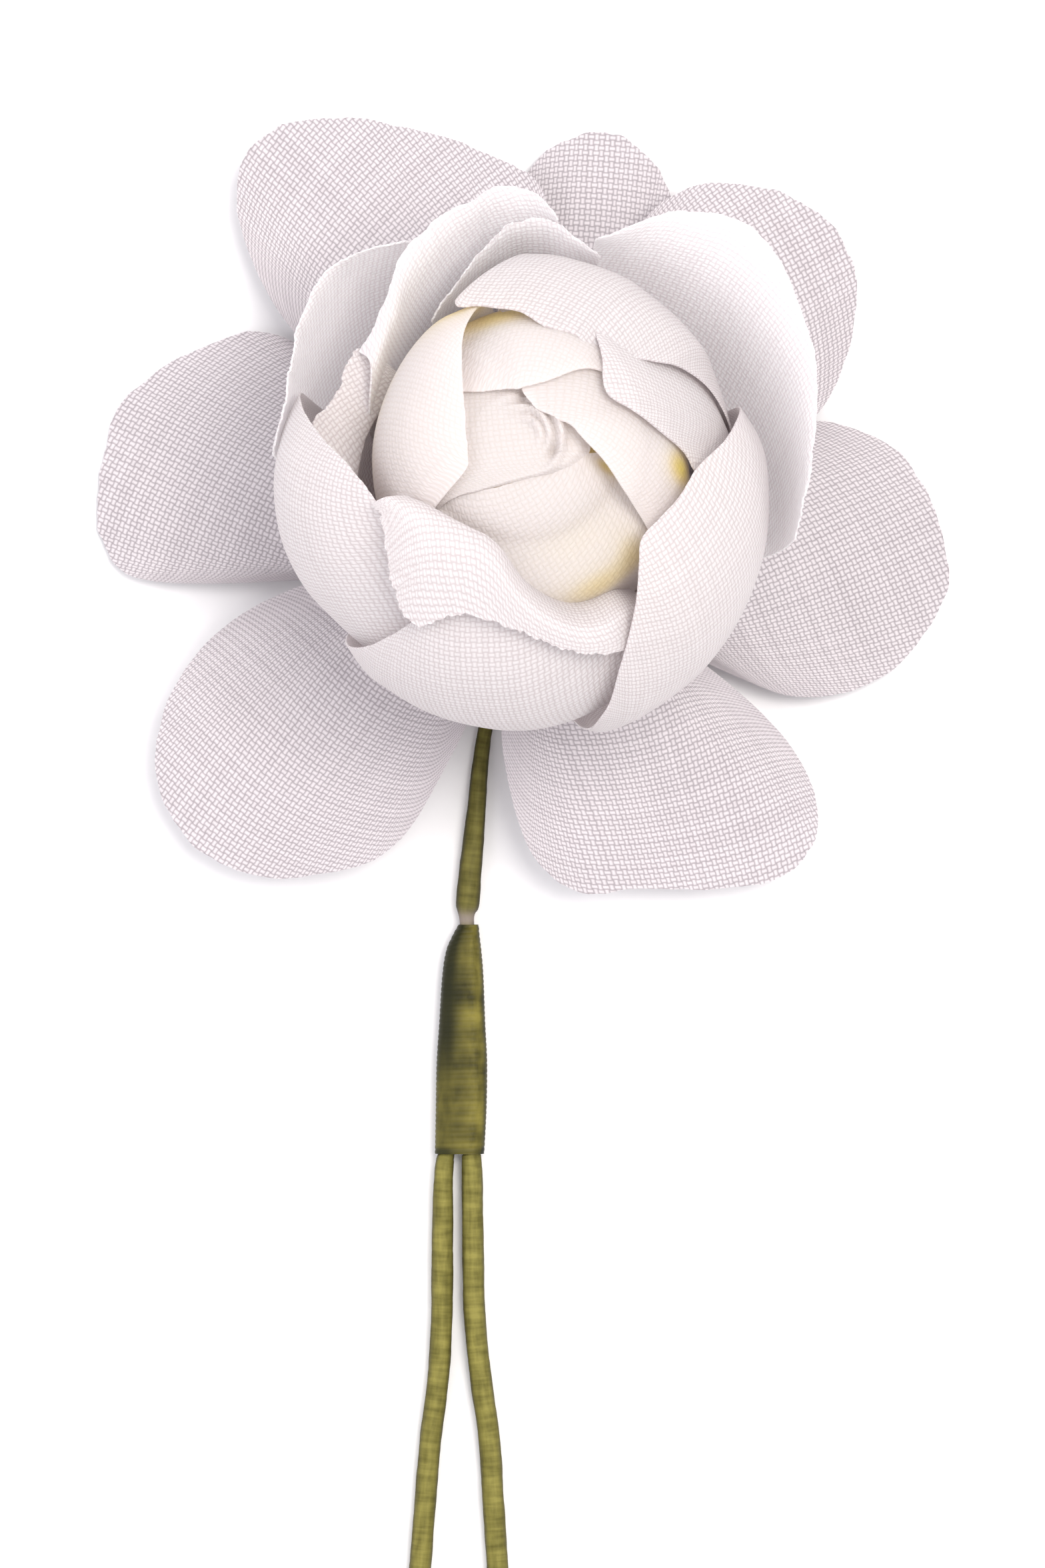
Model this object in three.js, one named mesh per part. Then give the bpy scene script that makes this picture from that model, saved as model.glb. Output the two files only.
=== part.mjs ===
// Boutonniere: a white cloth flower on a covered wire, with a second wire lashed beside it.
// It lies on its back with the bloom facing up (+Z) and the stem along -Y. Millimetres and degrees.
import * as THREE from 'three';

// Cloth petals
const CLOTH = 0.6;            // thickness of a petal's solid
const LAYER = 0.9;            // from one layer of cloth to the next
const PETAL_ROWS = 8;         // cells from root to rim
const PETAL_COLUMNS = 12;     // cells from side to side

// Where the bloom is: the point on its back where the wire leaves it, and how it leans
const BLOOM_BACK = new THREE.Vector3(0, 14.3, 5.9);
const LEAN = 12;              // the bloom's axis leans this much from upright, away from the stem

// The bloom's two families of shells, on which the rosette's petals lie
// radius and height are half-axes, rise is the centre's height over the bloom's centre,
// sink is how much the height shrinks for each millimetre of inset, square makes the shell fuller,
// layer is the inset from one petal to the next one inside it, and ahead moves the shell's axis along +Y
const WRAP = { radius: 15.5, height: 13, rise: 0, sink: 0.85, square: 1, layer: 1, ahead: 0.6 };
const BUD = { radius: 9.2, height: 9.6, rise: 3, sink: 0.9, square: 0.7, layer: 1.06, ahead: 2 };

// Wire, its green covering, and the thread lashing
const WIRE_RADIUS = 0.25;
const BORE_RADIUS = 0.39;
const THIN_RADIUS = 0.46;      // the covering under the bloom, and where the lashing grips it
const LEG_RADIUS = 0.69;
const THREAD = 0.27;           // thickness of the lashing's wall

const radians = THREE.MathUtils.degToRad;
const mix = THREE.MathUtils.lerp;
const planSpline = (pairs) => new THREE.SplineCurve(pairs.map(([a, b]) => new THREE.Vector2(a, b)));
const ease = (share) => THREE.MathUtils.smoothstep(share, 0, 1);

// A spline through the rows of a table, as a function of t that gives one number for each column
function tableSpline(rows) {
  const columns = rows[0].map((_, k) => planSpline(rows.map((row, i) => [i, row[k]])));
  return (t) => columns.map((column) => column.getPoint(t).y);
}

// Materials
const cloth = (colour) => new THREE.MeshStandardMaterial({ color: colour, roughness: 0.85, metalness: 0 });
const OUTER_CLOTH = '#e6dbe0';
const CUP_CLOTH = '#ecdfdf';
const ROSETTE_CLOTH = '#f7eeec';
const HEART_CLOTH = '#f9ece2';
const GREEN = '#8c8747';
const THREAD_GREEN = '#7c7640';
const STEEL = '#9a9a98';
const FOAM = '#ece3c6';

const boutonniere = new THREE.Group();
boutonniere.name = 'boutonniere';
const bloom = new THREE.Group();
bloom.rotation.x = radians(-LEAN);
bloom.position.copy(BLOOM_BACK).add(
  new THREE.Vector3(0, Math.sin(radians(LEAN)), Math.cos(radians(LEAN))).multiplyScalar(WRAP.height));
boutonniere.add(bloom);

function addMesh(parent, name, geometry, material) {
  const mesh = new THREE.Mesh(geometry, material);
  mesh.name = name;
  parent.add(mesh);
}

// An indexed geometry from a flat list of points and triangles
function closedGeometry(points, triangles) {
  const geometry = new THREE.BufferGeometry();
  const numbers = points.flatMap((point) => point.toArray());
  geometry.setAttribute('position', new THREE.Float32BufferAttribute(numbers, 3));
  geometry.setIndex(triangles);
  geometry.computeVertexNormals();
  return geometry;
}

// A sheet of cloth as a closed solid: surface(u, v) is its middle, u from root to rim, v from side to side.
// Both faces are split along the same diagonals, and four walls close the edges.
function petalGeometry(surface, rows = PETAL_ROWS, columns = PETAL_COLUMNS) {
  const at = (i, j) => surface(i / rows, j / columns);
  const front = [];
  const back = [];
  for (let i = 0; i <= rows; i++) {
    for (let j = 0; j <= columns; j++) {
      const along = at(Math.min(i + 1, rows), j).sub(at(Math.max(i - 1, 0), j));
      const across = at(i, Math.min(j + 1, columns)).sub(at(i, Math.max(j - 1, 0)));
      const half = along.cross(across).normalize().multiplyScalar(CLOTH / 2);
      front.push(at(i, j).add(half));
      back.push(at(i, j).sub(half));
    }
  }
  const id = (i, j) => i * (columns + 1) + j;
  const under = front.length;
  const triangles = [];
  for (let i = 0; i < rows; i++) {
    for (let j = 0; j < columns; j++) {
      const [a, b, c, d] = [id(i, j), id(i + 1, j), id(i + 1, j + 1), id(i, j + 1)];
      triangles.push(a, b, c, a, c, d);
      triangles.push(under + a, under + c, under + b, under + a, under + d, under + c);
    }
  }
  const rim = [];
  for (let i = 0; i < rows; i++) rim.push(id(i, 0));
  for (let j = 0; j < columns; j++) rim.push(id(rows, j));
  for (let i = rows; i > 0; i--) rim.push(id(i, columns));
  for (let j = columns; j > 0; j--) rim.push(id(0, j));
  rim.forEach((p, k) => {
    const q = rim[(k + 1) % rim.length];
    triangles.push(q, p, under + p, q, under + p, under + q);
  });
  return closedGeometry([...front, ...back], triangles);
}

// Outer petals: flat fans that start round the wire and spread under the bloom.
// outline is a spline of [bearing, reach] round the bloom's back, seen from above; tips are the heights
// of the middle of the cloth over the table at the two ends of the rim, crown is how far it arches, and
// layer 1 lies over layer 0.
const ROOT_REACH = 2.3;
const ROOT_HEIGHTS = [3.9, 3.9 + LAYER];
const ROOT_SHARE = 0.55;      // how much of a petal's spread its root keeps
const EDGE_DROP = 0.85;       // how much less the sides arch than the middle
const SHOULDER = 0.75;        // under 1 puts the top of the arch nearer the root

const OUTER_PETALS = {
  right: {
    layer: 0, tips: [0.36, 0.36], crown: 1.4,
    outline: [[-30, 9], [-28, 15.5], [-25.5, 20.2], [-17, 24.6], [-4, 27.5], [8, 26.8], [18, 24.8],
      [27, 20], [31, 12]],
  },
  top_right: {
    layer: 1, tips: [3.1, 2.8], crown: 0.3,
    outline: [[22, 12], [26, 20.5], [33, 25], [41, 28.4], [49, 29.5], [58, 28.5], [67, 25.9],
      [72, 21], [75, 12]],
  },
  top: {
    layer: 0, tips: [0.34, 0.36], crown: 0.2,
    outline: [[60, 12], [63, 21], [68, 25.6], [74, 27.8], [79, 28.4], [84, 27.5], [89, 25.4],
      [94, 20], [97, 12]],
  },
  top_left: {
    layer: 1, tips: [2.8, 3.0], crown: 0.0,
    outline: [[84, 13], [86, 23], [93, 25.9], [104, 28.7], [114, 31.3], [122, 32.1], [128.5, 29.6],
      [134, 23], [137, 13]],
  },
  left: {
    layer: 0, tips: [0.36, 0.36], crown: 1.6,
    outline: [[132, 13], [137, 21.5], [147, 25.2], [158, 27.9], [168, 27.9], [176, 27.4], [182, 25.2],
      [184, 19], [185, 9]],
  },
  bottom_left: {
    layer: 1, tips: [3.2, 3.6], crown: 2.2,
    outline: [[185, 9], [187, 15], [195, 21.3], [206, 26.2], [217, 28], [228, 26.9], [238, 23.6],
      [246, 19.8], [250, 13], [252, 8]],
  },
  bottom_right: {
    layer: 1, tips: [3.6, 3.2], crown: 2.2,
    outline: [[261, 8], [264.5, 12.5], [271, 18.2], [279, 21.4], [291, 22.5], [303, 25], [312, 26.4],
      [320, 24.8], [326, 20.3], [330, 14], [331, 9]],
  },
};

function outerPetal({ layer, tips, crown, outline }) {
  const rim = planSpline(outline.map(([bearing, reach]) =>
    [reach * Math.cos(radians(bearing)), reach * Math.sin(radians(bearing))]));
  const first = outline[0][0];
  const last = outline[outline.length - 1][0];
  const heading = (first + last) / 2;
  const longest = Math.max(...outline.map(([, reach]) => reach));
  return petalGeometry((u, v) => {
    const bearing = radians(heading + (mix(first, last, v) - heading) * ROOT_SHARE);
    const root = new THREE.Vector2(Math.cos(bearing), Math.sin(bearing)).multiplyScalar(ROOT_REACH);
    const plan = root.lerp(rim.getPoint(v), u);
    const side = 2 * v - 1;
    const share = plan.length() / longest;
    const arch = crown * Math.sin(Math.PI * share ** SHOULDER) * (1 - EDGE_DROP * side * side);
    const height = mix(ROOT_HEIGHTS[layer], mix(tips[0], tips[1], v), share) + arch;
    return new THREE.Vector3(BLOOM_BACK.x + plan.x, BLOOM_BACK.y + plan.y, height);
  });
}

// A point at an azimuth, a distance out from the axis and a height up it
const turned = (azimuth, out, up) =>
  new THREE.Vector3(out * Math.cos(radians(azimuth)), out * Math.sin(radians(azimuth)), up);

// A point of a shell, in the bloom's own frame
function onShell(shell, azimuth, latitude, inset) {
  const sine = Math.sin(radians(latitude));
  const out = (shell.radius - inset) * Math.abs(Math.cos(radians(latitude))) ** shell.square;
  const half = shell.height - shell.sink * inset;
  const up = shell.rise + half * Math.sign(sine) * Math.abs(sine) ** shell.square;
  return turned(azimuth, out, up).add(new THREE.Vector3(0, shell.ahead, 0));
}

// Rosette petals: each lies on a shell, from its root latitude up to a rim of [azimuth, latitude, layers in
// from the shell]. skirt is how far the foot stands off, below which latitude it starts and at which it is
// full; over is how the petal passes to the bud's shell: layers, and from which latitude to which; slant is
// how many degrees the last side leans back at its foot
const ROSETTE_PETALS = {
  wrap_right: { shell: WRAP, root: -70,
    rim: [[-76, -14, 0.1], [-72, 2, 0.1], [-68, 14, 0.1], [-64, 24, 0.1], [-58, 35, 0.15],
      [-53, 45, 0.15], [-42, 51, 0.15], [-33, 52, 0.15], [-22, 49, 0.15], [-10, 46, 0.15], [2, 42, 0.15],
      [10, 33, 0.1], [17, 22, 0.1], [23, 6, 0.1], [28, -12, 0.1]] },
  wrap_top: { shell: WRAP, root: -66, slant: 24,
    rim: [[12, -10, 1.3], [22, 6, 1.3], [30, 13, 1.25], [36, 24, 1.05], [43, 33, 0.8], [53, 37, 0.6],
      [62, 39, 0.5], [71, 40, 0.5], [82, 43, 0.55], [90, 44, 0.65], [98, 44, 0.65], [106, 43, 0.65],
      [112, 39, 0.65], [115, 32, 0.65]] },
  wrap_bottom: { shell: WRAP, root: -66,
    rim: [[213, -14, 1.05], [219, 0, 1.05], [226, 14, 1.05], [231, 28, 1.05], [236, 37, 1.1],
      [244, 44, 1.1], [256, 47, 1.15], [271, 45, 1.2], [284, 40, 1.5], [295, 32, 1.9], [304, 25, 2],
      [314, 10, 2], [322, -10, 2]] },
  wrap_left: { shell: WRAP, root: -62,
    rim: [[150, -14, -0.3], [153, 0, -0.3], [158, 15, -0.25], [167, 31, -0.1], [178, 42, 0.05],
      [190, 46, 0.55], [200, 46, 1.4], [210, 43, 2.2], [224, 36, 2.3], [233, 27, 2.3], [241, 2, 2.3]] },
  left_point: { shell: WRAP, root: -38, skirt: [-3.1, 22, -6],
    rim: [[128, -14, 0.9], [133, 6, 0.9], [137, 18, 0.9], [140, 21, 0.9], [146, 19, 0.9], [153, 17, 0.9],
      [161, 17, 0.95], [170, 19, 1], [180, 18, 1.1], [188, 12, 1.5], [192, -4, 1.8]] },
  wrap_upper_right: { shell: WRAP, root: -62, over: [-0.95, 5, 45],
    rim: [[-16, -10, 1.3], [-8, 12, 1.3], [-3, 24, 1.7], [3, 30, 2], [7, 36, 2.1], [14, 44, 2.2],
      [23, 50, 2.3], [34, 48, 2.4], [44, 40, 2.45], [52, 32, 2.4], [60, 26, 2.3], [68, 18, 2.1],
      [74, 8, 1.9], [80, -5, 1.8]] },
  bud_left: { shell: BUD, root: -42,
    rim: [[104, -5, -0.1], [112, 18, -0.1], [119, 42, 0], [132, 60, 0.05], [147, 66, 0.1], [162, 68, 0.15],
      [180, 66, 0.2], [193, 58, 0.25], [199, 42, 0.3], [202, 20, 0.3], [203, -5, 0.3]] },
  bud_right: { shell: BUD, root: -42,
    rim: [[-46, -10, 0], [-38, 5, 0], [-35, 16, 0], [-32, 30, 0], [-27, 48, 0], [-19, 60, 0], [-8, 69, 0],
      [10, 75, 0], [34, 78, 0], [60, 78, 0], [80, 74, 0], [90, 65, 0], [96, 45, 0], [99, 20, 0],
      [100, -5, 0]] },
  bud_bottom: { shell: BUD, root: -40,
    rim: [[196, 0, 2.1], [203, 36, 2.1], [212, 60, 2.1], [236, 75, 2.1], [272, 80, 2.1], [306, 78, 2.1],
      [334, 68, 2.1], [350, 46, 2.1], [358, 0, 2.1]] },
  bud_top: { shell: BUD, root: -40,
    rim: [[30, 0, 1.15], [36, 30, 1.15], [48, 50, 1.15], [66, 58, 1.15], [88, 60, 1.15], [110, 58, 1.15],
      [126, 52, 1.15], [135, 36, 1.15], [138, 0, 1.15]] },
  heart_right: { shell: BUD, root: -35,
    rim: [[-68, 0, 3.15], [-56, 48, 3.15], [-30, 72, 3.15], [10, 80, 3.15], [45, 80, 3.15], [66, 68, 3.15],
      [76, 46, 3.15], [82, 0, 3.15]] },
  heart_roll: { shell: BUD, root: -30,
    rim: [[100, 40, 4.2], [112, 74, 4.2], [150, 84, 4.2], [230, 86, 4.2], [310, 86, 4.2], [390, 84, 4.2],
      [436, 76, 4.2], [448, 40, 4.2]] },
};

function rosettePetal({ shell, root, rim, skirt = [0, 1, 0], over, slant = 0 }) {
  const edge = tableSpline(rim);
  return petalGeometry((u, v) => {
    const [rimAzimuth, top, depth] = edge(v);
    const latitude = mix(root, top, u);
    const azimuth = rimAzimuth - slant * v ** 4 * ease((45 - latitude) / 90);
    const inset = depth * shell.layer - skirt[0] * ease((skirt[1] - latitude) / (skirt[1] - skirt[2]));
    const place = onShell(shell, azimuth, latitude, inset);
    if (!over) return place;
    const inner = onShell(BUD, azimuth, latitude, over[0] * BUD.layer);
    return place.lerp(inner, ease((latitude - over[1]) / (over[2] - over[1])));
  });
}

// The heart's lobe: a petal that starts under the bud's left and lies over its top. root is the [azimuth,
// latitude] of its root's two ends, and edge a spline of places seen down the bud's axis
const LOBE = {
  inset: 1.3,
  root: [[200, 2], [160, 2]],
  edge: [[-4.9, -3.2], [-3.9, -3.2], [-2.8, -3.1], [-1.4, -2.9], [0.3, -2.6], [2, -2.2], [3.2, -1.7],
    [3.9, -0.6], [3.2, 0.8], [1.7, 2.2], [0.1, 3], [-1.8, 3.2], [-3.4, 3], [-4.8, 2.4]],
};

// The lobe's height on the bud's shell, whose height is rise + H (1 - (r / R)^(2 / square))^(square / 2)
function heartLobe({ inset, root, edge }) {
  const line = planSpline(edge);
  const radius = BUD.radius - inset;
  const height = BUD.height - BUD.sink * inset;
  return petalGeometry((u, v) => {
    const start = onShell(BUD, mix(root[0][0], root[1][0], v), mix(root[0][1], root[1][1], v), inset);
    const plan = new THREE.Vector2(start.x, start.y - BUD.ahead).lerp(line.getPoint(v), u ** 0.8);
    const share = Math.min(plan.length() / radius, 0.999);
    const up = BUD.rise + height * (1 - share ** (2 / BUD.square)) ** (BUD.square / 2);
    return new THREE.Vector3(plan.x, plan.y + BUD.ahead, up);
  });
}

// The turned-out petal: it rises inside the left and bottom wraps, folds over a crest, and its lip lies
// outside on their rims. edge is a spline of [azimuth, crest's latitude, lip's latitude, lip's layers in]
const TURNED = {
  inside: [4.1, 8],            // how far in the part that rises is, at its first side and its last
  roll: 1.8,                   // how far in from the lip the crest is
  rollEnd: 0.4,                // the share of that left at the last side
  root: -40,
  edge: [[196, 57, 52, -0.3], [203, 61, 53, 0], [213, 64, 50, 0.1], [225, 66, 44, 0.1], [236, 67, 40, 0.15],
    [247, 67, 48, 0.15], [259, 64, 49, 0.2], [271, 57, 47, 0.25], [281, 50, 43, 0.4], [290, 43, 37, 0.75],
    [298, 39, 35, 1.8], [305, 34, 31, 2.9], [312, 24, 22, 3.2]],
};

function turnedPetal({ inside, roll, rollEnd, root, edge }) {
  const edgeAt = tableSpline(edge);
  return petalGeometry((u, v) => {
    const [azimuth, crest, lip, out] = edgeAt(v);
    const deep = mix(inside[0], inside[1], ease(v));
    const top = out + roll * mix(1, rollEnd, ease((v - 0.7) / 0.3));
    const shoulder = mix(lip, crest, 0.75);
    const path = planSpline([[root, deep], [lip - 24, deep], [lip, mix(top, deep, 0.85)],
      [shoulder, mix(top, deep, 0.4)], [crest, top], [shoulder, out + 0.1], [lip, out]]);
    const place = path.getPoint(u);
    return onShell(WRAP, azimuth, place.x, place.y * WRAP.layer);
  }, 12);
}

// Cup petals: they leave the ball's underside, pass its widest part and stand off it.
// rim is a spline of [azimuth, reach] in the bloom's frame, height is how high it stands over the
// bloom's centre, ring counts layers outwards from the ball, and close says how far the foot moves in and
// the face up, and from which azimuth to which
const CUP_ROOT = -50;
const CUP_GAP = 0.6;         // from the wraps' shell to the innermost ring of cup petals
const CUP_LAYER = 1.2;       // from one ring of cup petals to the next
const CUP_PETALS = {
  cup_right: { ring: 1, height: 3.5, sides: 0.5,
    rim: [[-8, 17.4], [0, 17.7], [9, 18.3], [21, 19.6], [35, 21.2], [50, 22.5], [61, 21.2], [69, 19],
      [75, 17.8]] },
  cup_top_left: { ring: 1, height: 4, sides: 0.6, close: [4, 3.5, 104, 122],
    rim: [[146, 17.2], [136, 17.3], [124, 17.6], [113, 18.3], [103, 19.4], [95, 20.2], [88, 19.4],
      [83, 18]] },
  cup_left: { ring: 2.1, height: 3.5, sides: 0.3,
    rim: [[170, 18.2], [160, 18.3], [148, 18.5], [138, 18.9], [129, 19.2], [120, 19.2], [112, 19.1]] },
  cup_top: { ring: 0, height: 3.5, sides: 0.6,
    rim: [[103, 16.6], [98, 17.1], [92, 17.8], [84, 18], [78, 17.3], [73, 16.6]] },
};

function cupPetal({ ring, height, sides, rim, close = [0, 0, 0, 1] }) {
  const edge = planSpline(rim);
  return petalGeometry((u, v) => {
    const { x: azimuth, y: reach } = edge.getPoint(v);
    const closed = ease((azimuth - close[2]) / (close[3] - close[2]));
    const stand = CUP_GAP + ring * CUP_LAYER;
    const start = onShell(WRAP, 0, CUP_ROOT, -ring * CUP_LAYER - CUP_GAP / 3);
    const widest = WRAP.radius + stand - close[0] * closed;
    const end = height * (1 - (1 - sides) * Math.abs(2 * v - 1) ** 3);
    const profile = new THREE.CubicBezierCurve(
      new THREE.Vector2(start.x - close[0] * closed / 2, start.z),
      new THREE.Vector2(widest, -8),
      new THREE.Vector2(widest, 2.5 + close[1] * closed),
      new THREE.Vector2(reach, end));
    const place = profile.getPoint(u);
    return turned(azimuth, place.x, place.y).add(new THREE.Vector3(0, WRAP.ahead * (1 - u * u), 0));
  });
}

// Bodies of revolution: the foam core of the bud, and the taped hub that the petals are gathered on
const CORE_STEPS = 12;
const CORE = { radius: 3.3, top: 6.6, bottom: -9.8, bore: 0.5, boreTop: -3, lean: 11 };
const HUB = { bore: 0.74, foot: 1.2, flange: 2.6, neck: 1.9,
  bottom: 2.5, flangeBottom: 2.8, flangeTop: 3.2, top: 6 };

function coreGeometry() {
  const middle = (CORE.top + CORE.bottom) / 2;
  const half = (CORE.top - CORE.bottom) / 2;
  const steepest = Math.acos(CORE.bore * 2 / CORE.radius);
  const profile = [new THREE.Vector2(0, CORE.boreTop), new THREE.Vector2(CORE.bore, CORE.boreTop)];
  for (let k = 0; k < CORE_STEPS; k++) {
    const angle = mix(-steepest, Math.PI / 2, k / CORE_STEPS);
    const point = new THREE.Vector2(CORE.radius * Math.cos(angle), middle + half * Math.sin(angle));
    if (k === 0) profile.push(new THREE.Vector2(CORE.bore, point.y));
    profile.push(point);
  }
  profile.push(new THREE.Vector2(0, CORE.top));
  return new THREE.LatheGeometry(profile, 14).rotateX(Math.PI / 2);
}

function hubGeometry() {
  const corners = [
    [HUB.bore, HUB.bottom], [HUB.foot, HUB.bottom], [HUB.flange, HUB.flangeBottom],
      [HUB.flange, HUB.flangeTop],
    [HUB.neck, HUB.flangeTop], [HUB.neck, HUB.top], [HUB.bore, HUB.top], [HUB.bore, HUB.bottom],
  ];
  const profile = corners.map(([out, up]) => new THREE.Vector2(out, up));
  return new THREE.LatheGeometry(profile, 14).rotateX(Math.PI / 2);
}

// Wires: stations are [x, y, z, covering radius]; one spline runs through them
const axisPoint = (up, ahead = 0) => {
  const lean = radians(LEAN);
  return [BLOOM_BACK.x, BLOOM_BACK.y + up * Math.sin(lean) + ahead * Math.cos(lean),
    BLOOM_BACK.z + up * Math.cos(lean) - ahead * Math.sin(lean)];
};
const corePoint = (up) => axisPoint(up, (up - WRAP.height - CORE.bottom) * Math.tan(radians(CORE.lean)));
const MAIN_WIRE = [
  [...corePoint(9.5), THIN_RADIUS],
  [...corePoint(6), THIN_RADIUS],
  [...corePoint(3.2), THIN_RADIUS],
  [...axisPoint(0), THIN_RADIUS],
  [0, 14.28, 3.6, THIN_RADIUS],
  [-0.03, 14.08, 2.1, THIN_RADIUS],
  [-0.25, 12.9, 1.1, THIN_RADIUS],
  [-0.6, 11.2, 0.8, THIN_RADIUS],
  [-1.3, 8, 0.75, THIN_RADIUS],
  [-2.5, 3, 0.72, 0.47],
  [-3.05, -2.4, 0.8, 0.62],
  [-3.35, -5.4, 0.88, 0.72],
  [-3.55, -7.7, 0.94, 0.74],
  [-3.6, -8.8, 0.98, THIN_RADIUS],
  [-3.35, -12, 1.0, THIN_RADIUS],
  [-3.22, -15.5, 1.0, THIN_RADIUS],
  [-3.25, -20, 1.0, THIN_RADIUS],
  [-3.42, -24.1, 1.0, THIN_RADIUS],
  [-3.28, -25.4, 0.98, LEG_RADIUS],
  [-3.2, -30, 0.9, LEG_RADIUS],
  [-3.1, -34.3, 0.84, LEG_RADIUS],
  [-2.7, -38.4, 0.8, LEG_RADIUS],
  [-2.15, -42.4, 0.76, LEG_RADIUS],
  [-1.9, -46.3, 0.74, LEG_RADIUS],
  [-1.6, -51, 0.72, LEG_RADIUS],
  [-1.35, -56.4, 0.72, LEG_RADIUS],
];
const SECOND_WIRE = [
  [-4.45, -11.6, 1.0, THIN_RADIUS],
  [-4.6, -15.5, 1.0, THIN_RADIUS],
  [-4.65, -20, 1.0, THIN_RADIUS],
  [-4.8, -24.1, 1.0, THIN_RADIUS],
  [-5.05, -25.4, 0.98, LEG_RADIUS],
  [-5.15, -30, 0.9, LEG_RADIUS],
  [-5.22, -34.3, 0.84, LEG_RADIUS],
  [-5.45, -38.4, 0.8, LEG_RADIUS],
  [-5.95, -42.4, 0.76, LEG_RADIUS],
  [-6.28, -46.3, 0.74, LEG_RADIUS],
  [-6.65, -51, 0.72, LEG_RADIUS],
  [-7.15, -56.4, 0.72, LEG_RADIUS],
];
const STEPS_PER_STATION = 2;

// Rings of points across a wire's path, at every step between two of its stations
function ringsAlong(stations, from, to, radiusAt, sides) {
  const path = new THREE.CatmullRomCurve3(stations.map(([x, y, z]) => new THREE.Vector3(x, y, z)));
  const last = stations.length - 1;
  const rings = [];
  for (let k = from * STEPS_PER_STATION; k <= to * STEPS_PER_STATION; k++) {
    const place = k / STEPS_PER_STATION;
    const centre = path.getPoint(place / last);
    const forward = path.getTangent(place / last);
    const right = new THREE.Vector3(1, 0, 0).addScaledVector(forward, -forward.x).normalize();
    const up = forward.clone().cross(right).normalize();
    const low = Math.min(Math.floor(place), last - 1);
    const radius = radiusAt(mix(stations[low][3], stations[low + 1][3], place - low));
    const ring = [];
    for (let s = 0; s < sides; s++) {
      const angle = 2 * Math.PI * (s + 0.5) / sides;
      ring.push(centre.clone().addScaledVector(right, radius * Math.cos(angle))
        .addScaledVector(up, radius * Math.sin(angle)));
    }
    rings.push(ring);
  }
  return rings;
}

// A solid between an outer skin of rings and, where it has one, a bore of rings
function ringSolid(outer, bore) {
  const sides = outer[0].length;
  const points = outer.flat();
  const triangles = [];
  const skin = (first, count, outward) => {
    for (let k = 0; k < count - 1; k++) {
      for (let s = 0; s < sides; s++) {
        const a = first + k * sides + s;
        const b = first + k * sides + (s + 1) % sides;
        const quad = [a, b, b + sides, a, b + sides, a + sides];
        triangles.push(...(outward ? quad : quad.reverse()));
      }
    }
  };
  skin(0, outer.length, true);
  const end = (outer.length - 1) * sides;
  if (!bore) {
    for (let s = 1; s < sides - 1; s++) {
      triangles.push(0, s + 1, s, end, end + s, end + s + 1);
    }
    return closedGeometry(points, triangles);
  }
  const inner = points.length;
  points.push(...bore.flat());
  skin(inner, bore.length, false);
  for (let s = 0; s < sides; s++) {
    const t = (s + 1) % sides;
    triangles.push(s, inner + t, t, s, inner + s, inner + t);
    triangles.push(end + s, end + t, inner + end + t, end + s, inner + end + t, inner + end + s);
  }
  return closedGeometry(points, triangles);
}

function wireGeometry(stations) {
  return ringSolid(ringsAlong(stations, 0, stations.length - 1, () => WIRE_RADIUS, 6));
}

// The covering, from one of the stations to the cut end
function coverGeometry(stations, from) {
  const to = stations.length - 1;
  return ringSolid(ringsAlong(stations, from, to, (radius) => radius, 8),
    ringsAlong(stations, from, to, () => BORE_RADIUS, 8));
}

// The lashing: a sleeve of thread round both wires, with a flat underside that the piece lies on.
// stations are [x, y, half-width, half-height]; every section stands on z = 0.
const LASHING = [
  [-3.6, -9.05, 0.86, 0.9],
  [-3.76, -10, 1.12, 0.94],
  [-3.88, -11.3, 1.34, 0.98],
  [-3.92, -13, 1.46, 1.0],
  [-3.93, -15.5, 1.56, 1.0],
  [-3.95, -18, 1.64, 1.0],
  [-4.0, -21, 1.64, 1.0],
  [-4.1, -23.9, 1.58, 0.98],
];
const LASHING_SIDES = 16;
const ROUNDNESS = 2.6;         // 2 would be an ellipse
const FLATTENING = 1.04;       // over 1 cuts the top and the underside flat

function lashingRing([x, y, halfWidth, halfHeight], inset) {
  const ring = [];
  for (let s = 0; s < LASHING_SIDES; s++) {
    const angle = 2 * Math.PI * (s + 0.5) / LASHING_SIDES;
    const squash = (value) => Math.sign(value) * Math.abs(value) ** (2 / ROUNDNESS);
    const across = (halfWidth - inset) * squash(Math.cos(angle));
    const up = (halfHeight - inset) * THREE.MathUtils.clamp(FLATTENING * squash(Math.sin(angle)), -1, 1);
    ring.push(new THREE.Vector3(x + across, y, halfHeight + up));
  }
  return ring;
}

function lashingGeometry() {
  const rings = (inset) => LASHING.map((station) => lashingRing(station, inset));
  return ringSolid(rings(0), rings(THREAD));
}

// Assembly
for (const [name, petal] of Object.entries(OUTER_PETALS)) {
  addMesh(boutonniere, `outer_petal_${name}`, outerPetal(petal), cloth(OUTER_CLOTH));
}
for (const [name, petal] of Object.entries(CUP_PETALS)) {
  addMesh(bloom, `${name}_petal`, cupPetal(petal), cloth(CUP_CLOTH));
}
for (const [name, petal] of Object.entries(ROSETTE_PETALS)) {
  const colour = petal.shell === BUD ? HEART_CLOTH : ROSETTE_CLOTH;
  addMesh(bloom, `${name}_petal`, rosettePetal(petal), cloth(colour));
}
addMesh(bloom, 'heart_left_petal', heartLobe(LOBE), cloth(HEART_CLOTH));
addMesh(bloom, 'turned_out_petal', turnedPetal(TURNED), cloth(ROSETTE_CLOTH));
const bud = new THREE.Group();
bud.position.z = CORE.bottom;
bud.rotation.x = radians(-CORE.lean);
bloom.add(bud);
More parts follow.
